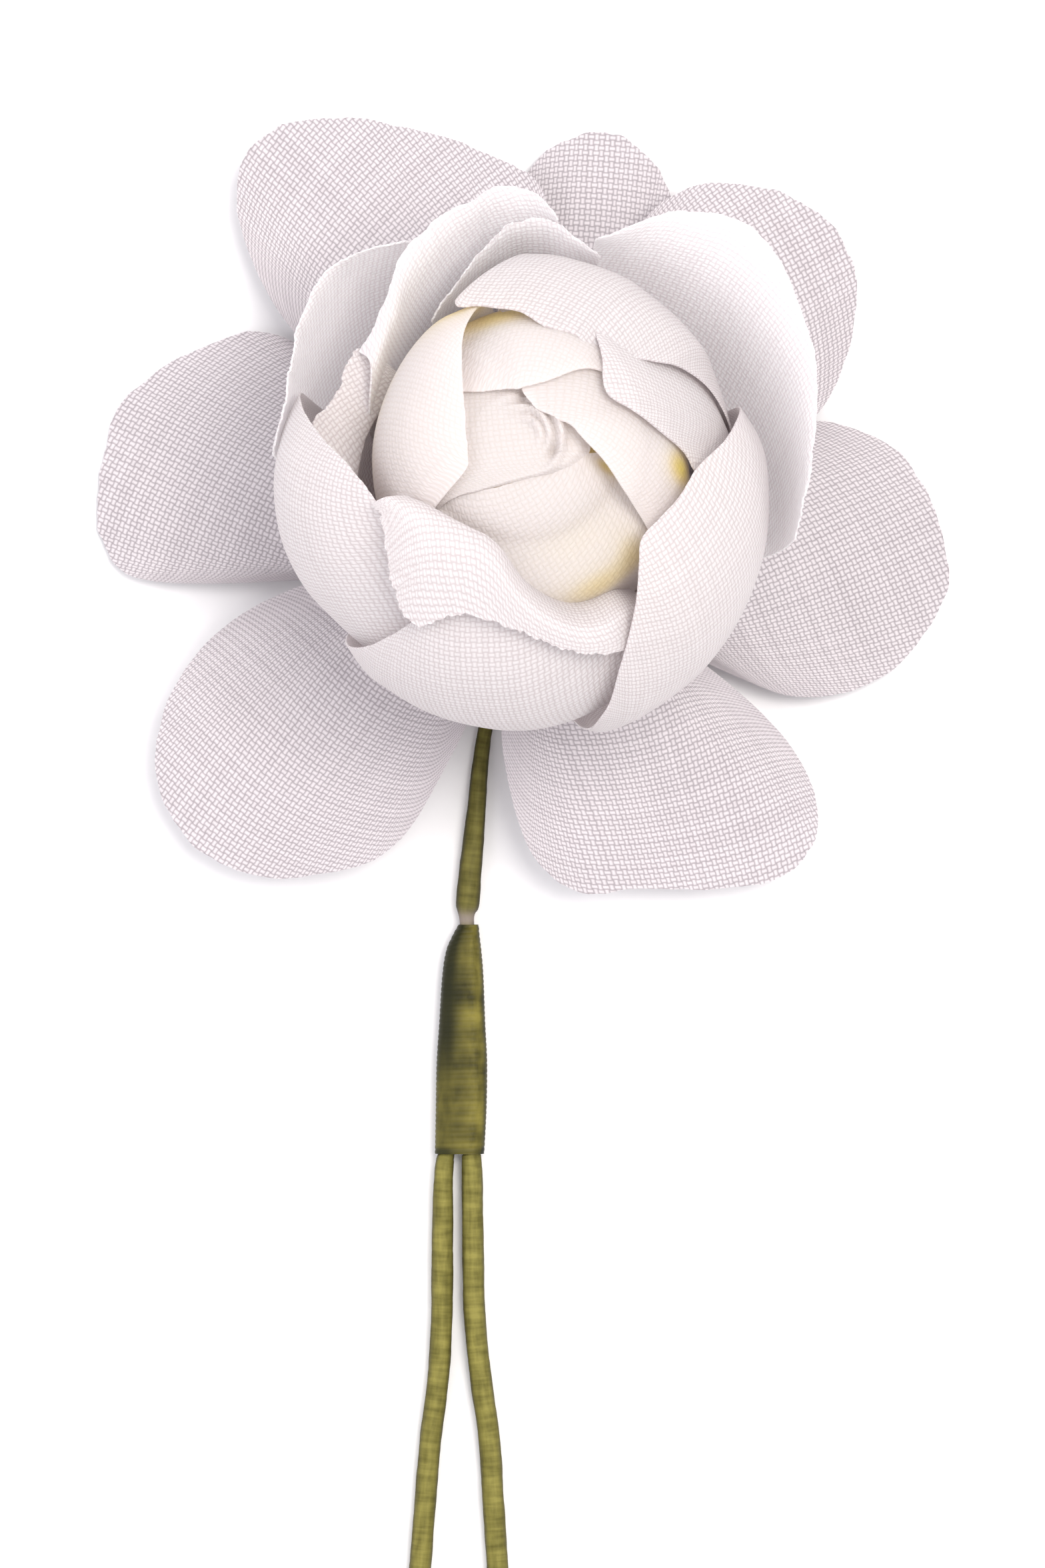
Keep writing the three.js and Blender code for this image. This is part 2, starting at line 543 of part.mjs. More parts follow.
addMesh(bud, 'bud_core', coreGeometry().translate(0, 0, -CORE.bottom),
  new THREE.MeshStandardMaterial({ color: FOAM, roughness: 0.95, metalness: 0 }));

const green = () => new THREE.MeshStandardMaterial({ color: GREEN, roughness: 0.8, metalness: 0 });
const steel = () => new THREE.MeshStandardMaterial({ color: STEEL, roughness: 0.35, metalness: 1 });
const hub = new THREE.Group();
hub.position.set(BLOOM_BACK.x, BLOOM_BACK.y, 0);
boutonniere.add(hub);
addMesh(hub, 'petal_hub', hubGeometry(), green());
addMesh(boutonniere, 'main_wire', wireGeometry(MAIN_WIRE), steel());
addMesh(boutonniere, 'main_wire_cover', coverGeometry(MAIN_WIRE, 3), green());
addMesh(boutonniere, 'second_wire', wireGeometry(SECOND_WIRE), steel());
addMesh(boutonniere, 'second_wire_cover', coverGeometry(SECOND_WIRE, 0), green());
addMesh(boutonniere, 'lashing', lashingGeometry(),
  new THREE.MeshStandardMaterial({ color: THREAD_GREEN, roughness: 0.7, metalness: 0 }));

// The origin is under the middle of the piece, on the surface it lies on
const extent = new THREE.Box3().setFromObject(boutonniere, true);
const middle = extent.getCenter(new THREE.Vector3());
const origin = new THREE.Vector3(middle.x, middle.y, extent.min.z);
for (const child of boutonniere.children) child.position.sub(origin);

export default boutonniere;
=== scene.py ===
"""A white cloth boutonniere on covered wire, lying on its back: its looks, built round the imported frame.

Shapes are worked out in millimetres and degrees, in the frame of the wires' paths: the point on the bloom's
back is (0, 14.3, 5.9), the stem runs along -Y, and the surface that the piece lies on is z = 0.
"""

import math

import bpy
import numpy as np
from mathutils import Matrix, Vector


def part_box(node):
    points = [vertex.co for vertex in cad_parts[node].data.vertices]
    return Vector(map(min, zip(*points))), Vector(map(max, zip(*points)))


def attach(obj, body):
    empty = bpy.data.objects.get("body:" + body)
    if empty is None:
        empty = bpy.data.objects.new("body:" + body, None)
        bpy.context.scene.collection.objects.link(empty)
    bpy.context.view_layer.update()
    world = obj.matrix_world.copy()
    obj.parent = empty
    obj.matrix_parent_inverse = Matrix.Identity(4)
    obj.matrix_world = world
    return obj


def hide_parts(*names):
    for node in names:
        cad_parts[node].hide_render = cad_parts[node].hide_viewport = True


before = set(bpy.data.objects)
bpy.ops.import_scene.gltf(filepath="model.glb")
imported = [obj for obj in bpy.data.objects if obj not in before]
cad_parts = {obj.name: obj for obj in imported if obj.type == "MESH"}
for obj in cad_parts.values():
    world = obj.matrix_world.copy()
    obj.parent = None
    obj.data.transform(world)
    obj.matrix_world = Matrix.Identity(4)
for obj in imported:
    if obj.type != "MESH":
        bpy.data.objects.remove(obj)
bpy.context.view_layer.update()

MM = 0.001

# The bloom: where its back is, how its axis leans from upright, and the two shells that its rosette lies on
BLOOM_BACK = np.array([0.0, 14.3, 5.9])
LEAN = 12
BLOOM_AXIS = np.array([0, math.sin(math.radians(LEAN)), math.cos(math.radians(LEAN))])
WRAP = dict(radius=15.5, height=13, rise=0, sink=0.85, square=1, layer=1, ahead=0.6)
BUD = dict(radius=9.3, height=9.6, rise=3, sink=0.9, square=0.7, layer=1.06, ahead=2)
BLOOM_CENTRE = BLOOM_BACK + WRAP["height"] * BLOOM_AXIS
CLOTH = 0.12  # thickness of a petal
THREAD_PITCH = 0.36  # from one thread of the weave to the next
SHARP_EDGE = 35  # a fold of more degrees than this is shaded as an edge

# The frame's own place: the taped hub is a turned piece round the bloom's back
hub_low, hub_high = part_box("petal_hub")
HUB_MIDDLE = np.array([hub_low.x + hub_high.x, hub_low.y + hub_high.y]) / 2 / MM
SHIFT = np.array([*(HUB_MIDDLE - BLOOM_BACK[:2]), 0])


# Curves and surfaces


def radial(degrees):
    """Unit vectors in a plane at these angles: (cos, sin)."""
    angle = np.radians(degrees)
    return np.stack([np.cos(angle), np.sin(angle)], -1)


def mix(a, b, share):
    """Linear mix: a at 0, b at 1."""
    return a + (b - a) * share


def ease(share):
    """Smooth step from 0 to 1: 3s^2 - 2s^3, held at the ends."""
    s = np.clip(share, 0, 1)
    return s * s * (3 - 2 * s)


def spline(points, t):
    """Uniform Catmull-Rom curve through the points, its end points doubled, as t goes from 0 to 1."""
    points = np.asarray(points, float)
    last = len(points) - 1
    place = np.clip(t, 0, 1) * last
    k = np.minimum(place.astype(int), last - 1)
    w = (place - k).reshape(place.shape + (1,) * (points.ndim - 1))
    before, a, b, after = (
        points[np.maximum(k - 1, 0)], points[k], points[k + 1], points[np.minimum(k + 2, last)],
    )
    leave, arrive = (b - before) / 2, (after - a) / 2
    cubic = 2 * a - 2 * b + leave + arrive
    square = 3 * b - 3 * a - 2 * leave - arrive
    return cubic * w**3 + square * w**2 + leave * w + a


RIPPLE_SINES = [(1, 1), (0.6, 1.71), (0.4, 2.93)]  # strength and pace of each


def ripple(t, seed, waves):
    """A smooth wander in -1 to 1: half the sum of three sines of t, of different paces and seeded phases."""
    phases = np.random.default_rng(seed).uniform(0, 2 * math.pi, 3)
    turn = 2 * math.pi * waves * t
    return sum(high * np.sin(pace * turn + phase) for (high, pace), phase in zip(RIPPLE_SINES, phases)) / 2


def frayed(t, seed, waves, depths):
    """How far a cut edge strays: a coarse ripple and, on the next seed, a fine one."""
    return depths[0] * ripple(t, seed, waves[0]) + depths[1] * ripple(t, seed + 1, waves[1])


def grid(rows, columns):
    """u and v from 0 to 1 along and across a grid of so many rows and columns of faces."""
    return np.meshgrid(np.linspace(0, 1, rows + 1), np.linspace(0, 1, columns + 1), indexing="ij")


def on_shell(shell, azimuth, latitude, inset):
    """A point of a shell, or inset from it: out = (radius - inset) |cos|^square of the latitude, and
    up = rise + (height - sink inset) |sin|^square, with the shell's axis moved ahead along +Y."""
    cosine, sine = np.cos(np.radians(latitude)), np.sin(np.radians(latitude))
    out = (shell["radius"] - inset) * np.abs(cosine) ** shell["square"]
    half = shell["height"] - shell["sink"] * inset
    up = shell["rise"] + half * np.sign(sine) * np.abs(sine) ** shell["square"]
    return turned(azimuth, out, up) + np.array([0, shell["ahead"], 0])


def turned(azimuth, out, up):
    """A point at an azimuth, a distance out from the bloom's axis and a height up it."""
    flat = radial(azimuth) * np.asarray(out)[..., None]
    return np.concatenate([flat, np.broadcast_to(up, flat.shape[:-1])[..., None]], -1)


def leaned(points):
    """From the bloom's own frame to the wires': turned by LEAN about X, and moved to the bloom's centre."""
    _, sine, cosine = BLOOM_AXIS
    x, y, z = np.moveaxis(points, -1, 0)
    return BLOOM_CENTRE + np.stack([x, y * cosine + z * sine, z * cosine - y * sine], -1)


def arcs(points, axis):
    """Length along a grid's lines from their first point, as an array of the grid's shape."""
    steps = np.linalg.norm(np.diff(points, axis=axis), axis=-1)
    return np.concatenate([np.zeros_like(np.take(steps, [0], axis)), np.cumsum(steps, axis)], axis)


# Meshes


def closed_sheet(middle, thickness):
    """Points and faces of a sheet: the middle grid moved half the thickness to each side along its normals,
    the normal being the cross product of the grid's two directions, and four walls round the edge."""
    along, across = np.gradient(middle, axis=0), np.gradient(middle, axis=1)
    normal = np.cross(along, across)
    normal /= np.maximum(np.linalg.norm(normal, axis=-1, keepdims=True), 1e-9)
    rows, columns = middle.shape[:2]
    front, back = middle + normal * thickness / 2, middle - normal * thickness / 2
    ids = np.arange(rows * columns).reshape(rows, columns)
    quads = np.stack([ids[:-1, :-1], ids[1:, :-1], ids[1:, 1:], ids[:-1, 1:]], -1).reshape(-1, 4)
    under = rows * columns
    rim = np.concatenate([ids[:-1, 0], ids[-1, :-1], ids[:0:-1, -1], ids[0, :0:-1]])
    after = np.roll(rim, -1)
    walls = np.stack([after, rim, rim + under, after + under], -1)
    points = np.concatenate([front.reshape(-1, 3), back.reshape(-1, 3)])
    return points, np.concatenate([quads, quads[:, ::-1] + under, walls])


def link(name, data):
    """A new object of that data, at the origin, in the scene."""
    obj = bpy.data.objects.new(name, data)
    bpy.context.scene.collection.objects.link(obj)
    return obj


def piece(name, points, faces, finish, attributes, threads=None):
    """A mesh object from points in the wires' frame and a list of faces. attributes are floats of its points,
    and threads are places in the cloth, in millimetres, kept as a UV map."""
    mesh = bpy.data.meshes.new(name)
    mesh.from_pydata(((points + SHIFT) * MM).tolist(), [], faces)
    for key, values in attributes.items():
        layer = mesh.attributes.new(key, "FLOAT", "POINT")
        layer.data.foreach_set("value", values.astype(np.float32).ravel())
    if threads is not None:
        corner = np.empty(len(mesh.loops), int)
        mesh.loops.foreach_get("vertex_index", corner)
        layer = mesh.uv_layers.new(name="threads")
        layer.data.foreach_set("uv", threads[corner].astype(np.float32).ravel())
    mesh.shade_smooth()
    mesh.set_sharp_from_angle(angle=math.radians(SHARP_EDGE))
    mesh.materials.append(finish)
    return link(name, mesh)


def petal(name, middle, cloth, heading, deep=None):
    """A cloth petal from the grid of its middle, rows from root to rim, with how deep in the bloom each point
    is, from 0 to 1, which sets its painted warm shade. Its weave follows arc lengths along and across the
    grid, turned by heading."""
    points, faces = closed_sheet(middle, CLOTH)
    across = arcs(middle, 1)
    across -= across[:, across.shape[1] // 2, None]
    along = arcs(middle, 0)
    cosine, sine = radial(heading)
    threads = np.stack([across * cosine - along * sine, across * sine + along * cosine], -1)
    threads = np.concatenate([threads.reshape(-1, 2)] * 2)
    depth = np.zeros(middle.shape[:2]) if deep is None else deep
    obj = piece(name, points, faces.tolist(), cloth, {"deep": np.concatenate([depth.ravel()] * 2)}, threads)
    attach(obj, "root")
    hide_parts(name.replace("cloth_", ""))


# Colours and materials

WEAVE_RELIEF = 0.12  # how far a thread stands up where it passes over
SLUB_WAVES = (2.2, 0.05)  # to the millimetre, across a thread and along it
STREAK_WAVES = (9, 0.35)  # the covering's mottling: to the turn round it, and to the millimetre along it
RING_WAVES = 1.5  # to the turn: how unevenly each of its fine turns lies


def linear(colour):
    """Linear RGBA of an sRGB hex colour."""
    srgb = np.array([int(colour[k : k + 2], 16) / 255 for k in (1, 3, 5)])
    light = np.where(srgb <= 0.04045, srgb / 12.92, ((srgb + 0.055) / 1.055) ** 2.4)
    return (*light.tolist(), 1.0)


def add(tree, kind, inputs=None, **settings):
    """Adds a node: settings are its properties, inputs its sockets' values or what is linked to them."""
    made = tree.nodes.new(kind)
    for key, value in settings.items():
        setattr(made, key, value)
    for key, value in (inputs or {}).items():
        if isinstance(value, bpy.types.NodeSocket):
            tree.links.new(value, made.inputs[key])
        else:
            made.inputs[key].default_value = value
    return made


def material(name):
    """An empty node material, and its tree."""
    made = bpy.data.materials.new(name)
    made.use_nodes = True
    made.node_tree.nodes.clear()
    return made, made.node_tree


def woven_cloth(name, light, shade, glow, painted_warm_shade):
    """White polyester taffeta, plain woven and die cut: matt, faintly shiny along its threads, thin enough
    for light to come through, by glow. The weave is the higher of two thread profiles, |sin|, in a chequer
    of light tops and shaded hollows, and a ramp of painted warm shade is multiplied in, from the petals'
    outside to the bloom's depth."""
    made, tree = material(name)
    place = add(tree, "ShaderNodeUVMap", uv_map="threads").outputs["UV"]
    axes = add(tree, "ShaderNodeSeparateXYZ", {0: place})
    turns = math.pi / THREAD_PITCH
    waves = []
    for axis in "XY":
        turn = add(tree, "ShaderNodeMath", {0: axes.outputs[axis], 1: turns}, operation="MULTIPLY")
        waves.append(add(tree, "ShaderNodeMath", {0: turn.outputs[0]}, operation="SINE"))
    warp, weft = (wave.outputs[0] for wave in waves)
    chequer = add(tree, "ShaderNodeMath", {0: warp, 1: weft}, operation="MULTIPLY")
    over = add(tree, "ShaderNodeMapRange", {"Value": chequer.outputs[0], "From Min": -0.25, "From Max": 0.25})
    ribs = [add(tree, "ShaderNodeMath", {0: wave}, operation="ABSOLUTE").outputs[0] for wave in (warp, weft)]
    weave = add(tree, "ShaderNodeMix", {"Factor": over.outputs[0], "A": ribs[1], "B": ribs[0]})
    # Slubs: threads that run a little thick or thin for about 20 mm
    slubs = []
    for stretch in ((*SLUB_WAVES, 1), (*SLUB_WAVES[::-1], 1)):
        along = add(tree, "ShaderNodeMapping", {"Vector": place, "Scale": stretch}).outputs[0]
        slubs.append(add(tree, "ShaderNodeTexNoise", {"Vector": along, "Scale": 1.0, "Detail": 2.0}))
    slub = add(tree, "ShaderNodeMath", {0: slubs[0].outputs[0], 1: slubs[1].outputs[0]}, operation="ADD")
    uneven = add(tree, "ShaderNodeMath", {0: slub.outputs[0], 1: 0.35, 2: -0.35}, operation="MULTIPLY_ADD")
    tone = add(tree, "ShaderNodeMath", {0: weave.outputs[0], 1: uneven.outputs[0]}, operation="ADD")
    thread = add(tree, "ShaderNodeMapRange", {"Value": tone.outputs[0], "From Min": 0.25, "From Max": 1.0})
    cloth = add(
        tree, "ShaderNodeMix", {"Factor": thread.outputs[0], "A": linear(shade), "B": linear(light)},
        data_type="RGBA",
    )
    # How deep in the bloom a point is picks a colour off the ramp, multiplied into the cloth: painted warm
    # shade in the bloom's crevices
    deep = add(tree, "ShaderNodeAttribute", attribute_name="deep")
    warm_shade_ramp = add(tree, "ShaderNodeValToRGB", {"Fac": deep.outputs["Fac"]})
    stops = warm_shade_ramp.color_ramp.elements
    for k, (at, colour) in enumerate(painted_warm_shade):
        stop = stops[k] if k < 2 else stops.new(at)
        stop.position, stop.color = at, linear(colour)
    cloth_with_warm_shade = add(
        tree, "ShaderNodeMix", {"Factor": 1.0, "A": cloth.outputs["Result"], "B": warm_shade_ramp.outputs["Color"]},
        data_type="RGBA", blend_type="MULTIPLY",
    ).outputs["Result"]
    bump = add(
        tree, "ShaderNodeBump", {"Height": weave.outputs[0], "Strength": 0.35, "Distance": WEAVE_RELIEF * MM}
    ).outputs[0]
    surface = add(
        tree, "ShaderNodeBsdfPrincipled",
        {
            "Base Color": cloth_with_warm_shade, "Roughness": 0.72, "Normal": bump,
            "Sheen Weight": 0.12, "Sheen Roughness": 0.4, "Specular IOR Level": 0.25,
        },
    )
    through = add(tree, "ShaderNodeBsdfTranslucent", {"Color": cloth_with_warm_shade, "Normal": bump})
    both = add(tree, "ShaderNodeMixShader", {0: glow, 1: surface.outputs[0], 2: through.outputs[0]})
    add(tree, "ShaderNodeOutputMaterial", {"Surface": both.outputs[0]})
    return made


# Ramps of painted warm shade: [how deep in the bloom, colour]. The petals of the ball turn warm and darker
# towards the bloom's depth, painted shade for the warm half-light in its crevices
PLAIN = [(0.0, "#ffffff"), (1.0, "#fdf6e6")]
WARM_SHADE = [(0.0, "#ffffff"), (1.0, "#faef94"), (0.3, "#fffdf4"), (0.65, "#fef5cd")]
# The outer petals' copy of the cloth is greyer and darker than the ball's white: painted shade, for the light
# that a single layer lets through
OUTER_CLOTH = woven_cloth("polyester_taffeta_outer", "#f0eaec", "#b9b1b5", 0.25, PLAIN)
CUP_CLOTH = woven_cloth("polyester_taffeta_cup", "#ffffff", "#eee9ea", 0.45, PLAIN)
ROSETTE_CLOTH = woven_cloth("polyester_taffeta_rosette", "#fdfafa", "#e5dede", 0.42, WARM_SHADE)
HEART_CLOTH = woven_cloth("polyester_taffeta_heart", "#fcf8f7", "#f7f2ef", 0.5, WARM_SHADE)
NECK_GREY = "#938782"  # the pale grey that shows where the covering is thin


def wound_green(name, light, dark, painted_shade_colour, rough, turns, relief, mottle):
    """Green covering on wire, wound tight: matt, mottled along its length, with fine turns round it, so many
    to the millimetre and relief millimetres high. The smaller mottle is, the harder the mottling. Its pieces'
    attributes are around and along, in turns and millimetres, side, how far its dark third colour is mixed in
    as painted shade, and bare, how far its grey shows."""
    made, tree = material(name)
    around = add(tree, "ShaderNodeAttribute", attribute_name="around")
    along = add(tree, "ShaderNodeAttribute", attribute_name="along")
    place = add(tree, "ShaderNodeCombineXYZ", {"X": around.outputs["Fac"], "Y": along.outputs["Fac"]})
    streaks = add(tree, "ShaderNodeMapping", {"Vector": place.outputs[0], "Scale": (*STREAK_WAVES, 1)})
    streak = add(tree, "ShaderNodeTexNoise", {"Vector": streaks.outputs[0], "Scale": 1.0, "Detail": 4.0})
    rings = add(tree, "ShaderNodeMapping", {"Vector": place.outputs[0], "Scale": (RING_WAVES, turns, 1)})
    ring = add(tree, "ShaderNodeTexNoise", {"Vector": rings.outputs[0], "Scale": 1.0, "Detail": 3.0})
    both = add(tree, "ShaderNodeMath", {0: streak.outputs[0], 1: ring.outputs[0]}, operation="ADD")
    tone = add(
        tree, "ShaderNodeMapRange", {"Value": both.outputs[0], "From Min": 1 - mottle, "From Max": 1 + mottle}
    )
    colour = add(
        tree, "ShaderNodeMix", {"Factor": tone.outputs[0], "A": linear(dark), "B": linear(light)},
        data_type="RGBA",
    )
    # side mixes in the dark third colour as painted shade; bare mixes in the neck's grey
    for attribute, shade_and_neck_grey in (("side", painted_shade_colour), ("bare", NECK_GREY)):
        share = add(tree, "ShaderNodeAttribute", attribute_name=attribute)
        colour = add(
            tree, "ShaderNodeMix",
            {"Factor": share.outputs["Fac"], "A": colour.outputs["Result"], "B": linear(shade_and_neck_grey)},
            data_type="RGBA",
        )
    bump = add(tree, "ShaderNodeBump", {"Height": both.outputs[0], "Strength": 0.5, "Distance": relief * MM})
    surface = add(
        tree, "ShaderNodeBsdfPrincipled",
        {
            "Base Color": colour.outputs["Result"], "Roughness": rough, "Normal": bump.outputs[0],
            "Specular IOR Level": 0.18,
        },
    )
    add(tree, "ShaderNodeOutputMaterial", {"Surface": surface.outputs[0]})
    return made


# The third colour of each is the dark brown of its painted shade
STEM_COVER = wound_green(
    "floral_paper_covering", "#8e8744", "#5f5a26", "#3a3618", rough=0.62, turns=2.5, relief=0.08, mottle=0.27
)
LASHING_THREAD = wound_green(
    "wound_thread_olive", "#837a36", "#38350f", "#1e200c", rough=0.5, turns=0.9, relief=0.1, mottle=0.3
)


def drawn_steel(name):
    """Annealed steel wire, drawn and cut: grey metal with fine lines along it."""
    made, tree = material(name)
    place = add(tree, "ShaderNodeTexCoord").outputs["Object"]
    across, along = 9 / MM, 0.3 / MM  # lines to the millimetre across the wire, and along it
    lines = add(tree, "ShaderNodeMapping", {"Vector": place, "Scale": (across, along, across)})
    grain = add(tree, "ShaderNodeTexNoise", {"Vector": lines.outputs[0], "Scale": 1.0})
    tone = add(
        tree, "ShaderNodeMix", {"Factor": grain.outputs[0], "A": linear("#8d8c8a"), "B": linear("#b4b3b0")},
        data_type="RGBA",
    )
    surface = add(
        tree, "ShaderNodeBsdfPrincipled",
        {"Base Color": tone.outputs["Result"], "Metallic": 1.0, "Roughness": 0.38},
    )
    add(tree, "ShaderNodeOutputMaterial", {"Surface": surface.outputs[0]})
    return made


def cut_foam(name):
    """Cream polystyrene foam, moulded in beads about 1 mm across: matt, with a faint cell pattern."""
    made, tree = material(name)
    place = add(tree, "ShaderNodeTexCoord").outputs["Object"]
    beads = add(tree, "ShaderNodeTexVoronoi", {"Vector": place, "Scale": 1 / MM}).outputs["Distance"]
    tone = add(
        tree, "ShaderNodeMix", {"Factor": beads, "A": linear("#f3ead0"), "B": linear("#dccf9f")},
        data_type="RGBA",
    )
    bump = add(tree, "ShaderNodeBump", {"Height": beads, "Strength": 0.4, "Distance": 0.2 * MM})
    surface = add(
        tree, "ShaderNodeBsdfPrincipled",
        {"Base Color": tone.outputs["Result"], "Roughness": 0.9, "Normal": bump.outputs[0]},
    )
    add(tree, "ShaderNodeOutputMaterial", {"Surface": surface.outputs[0]})
    return made


WIRE_STEEL = drawn_steel("annealed_steel_wire")
CORE_FOAM = cut_foam("polystyrene_foam")

# Outer petals. outline is a spline of (bearing, reach) round the bloom's back; tips, crown and layer are the
# heights of its rim, how far it arches, and which layer it is in; dents are (bearing, reach, radius, depth)
ROOT_REACH = 2.3  # from the wire's middle to the petals' roots
ROOT_HEIGHTS = [3.9, 4.8]  # of the two layers' roots
ROOT_SHARE = 0.55  # how much of its rim's angle a petal's root takes
EDGE_DROP = 0.85  # how much of its arch a petal lacks at its sides
SHOULDER = 0.75  # under 1 the arch is highest nearer the root
RIM_WAVES, RIM_DEPTHS = (9, 37), (0.004, 0.0015)  # how its cut rim strays, in shares of its reach
CURL = 0.12  # how far its rim lifts and sinks
LOWEST = 0.16  # the cloth's middle stays above this

OUTER_PETALS = {
    "right": dict(
        layer=0, tips=(0.36, 0.36), crown=1.4, heading=28,
        outline=[
            (-30, 9), (-28, 15.5), (-25.5, 20.2), (-17, 24.6), (-4, 27.5), (8, 26.8), (18, 24.8), (27, 20),
            (31, 12),
        ],
        dents=[(-12, 20, 3.5, 0.5), (14, 22, 3, -0.35), (2, 25, 3, 0.25)],
    ),
    "top_right": dict(
        layer=1, tips=(3.1, 2.8), crown=0.3, heading=-20,
        outline=[
            (22, 12), (26, 20.5), (33, 25), (41, 28.4), (49, 29.5), (58, 28.5), (67, 25.9), (72, 21),
            (75, 12),
        ],
        dents=[(46, 26, 4, 0.4), (60, 27, 3, -0.3)],
    ),
    "top": dict(
        layer=0, tips=(0.34, 0.36), crown=0.2, heading=8,
        outline=[
            (60, 12), (63, 21), (68, 25.6), (74, 27.8), (79, 28.4), (84, 27.5), (89, 25.4), (94, 20),
            (97, 12),
        ],
        dents=[(80, 24, 3, -0.3)],
    ),
    "top_left": dict(
        layer=1, tips=(2.8, 3.0), crown=0.0, heading=22,
        outline=[
            (84, 13), (86, 23), (93, 25.9), (104, 28.7), (114, 31.3), (122, 32.1), (128.5, 29.6), (134, 23),
            (137, 13),
        ],
        dents=[(125, 27, 4, 0.6), (112, 28, 4, -0.4), (100, 26, 3, 0.25)],
    ),
    "left": dict(
        layer=0, tips=(0.36, 0.36), crown=1.6, heading=-15,
        outline=[
            (132, 13), (137, 21.5), (147, 25.2), (158, 27.9), (168, 27.9), (176, 27.4), (182, 25.2),
            (184, 19), (185, 9),
        ],
        dents=[(163, 22, 4, 0.45), (150, 22, 3, -0.3), (175, 24, 3, -0.3)],
    ),
    "bottom_left": dict(
        layer=1, tips=(3.2, 3.6), crown=2.2, heading=12,
        outline=[
            (185, 9), (187, 15), (195, 21.3), (206, 26.2), (217, 28), (228, 26.9), (238, 23.6), (246, 19.8),
            (250, 13), (252, 8),
        ],
        dents=[(214, 18, 4.5, 0.8), (228, 20, 4, -0.4), (203, 23, 3, -0.3)],
    ),
    "bottom_right": dict(
        layer=1, tips=(3.6, 3.2), crown=2.2, heading=-18,
        outline=[
            (261, 8), (264.5, 12.5), (271, 18.2), (279, 21.4), (291, 22.5), (303, 25), (312, 26.4),
            (320, 24.8), (326, 20.3), (330, 14), (331, 9),
        ],
        dents=[(300, 19, 4, 0.6), (285, 18, 3, -0.3), (315, 22, 3, -0.4)],
    ),
}


def outer_petal(layer, tips, crown, outline, dents, seed, rows=54, columns=84):
    """Grid of a petal that starts on a circle round the wire and spreads to its outline. Its height falls
    evenly with its share of the reach from the wire, plus an arch crown sin(pi share^SHOULDER), less
    bell-shaped dents, depth exp(-(distance / radius)^2), and a curl that grows to the rim."""
    u, v = grid(rows, columns)
    first, last = outline[0][0], outline[-1][0]
    heading = (first + last) / 2
    reach = np.array([far for _, far in outline])
    rim = spline(radial([bearing for bearing, _ in outline]) * reach[:, None], v)
    rim = rim * (1 + frayed(v, seed, RIM_WAVES, RIM_DEPTHS))[..., None]
    root = radial(heading + (mix(first, last, v) - heading) * ROOT_SHARE) * ROOT_REACH
    plan = mix(root, rim, u[..., None])
    side = 2 * v - 1
    share = np.linalg.norm(plan, axis=-1) / reach.max()
    arch = crown * np.sin(math.pi * share**SHOULDER) * (1 - EDGE_DROP * side**2)
    height = mix(ROOT_HEIGHTS[layer], mix(*tips, v), share) + arch
    for bearing, far, radius, depth in dents:
        off = np.linalg.norm(plan - radial(bearing) * far, axis=-1)
        height = height - depth * np.exp(-((off / radius) ** 2))
    height = height + CURL * ripple(v, seed + 2, 3) * u**3
    return np.concatenate([BLOOM_BACK[:2] + plan, np.maximum(height, LOWEST)[..., None]], -1)


for seed, (name, shape) in enumerate(OUTER_PETALS.items()):
    weave = shape.pop("heading")
    middle = outer_petal(**shape, seed=10 * seed)
    petal(f"cloth_outer_petal_{name}", middle, OUTER_CLOTH, weave)
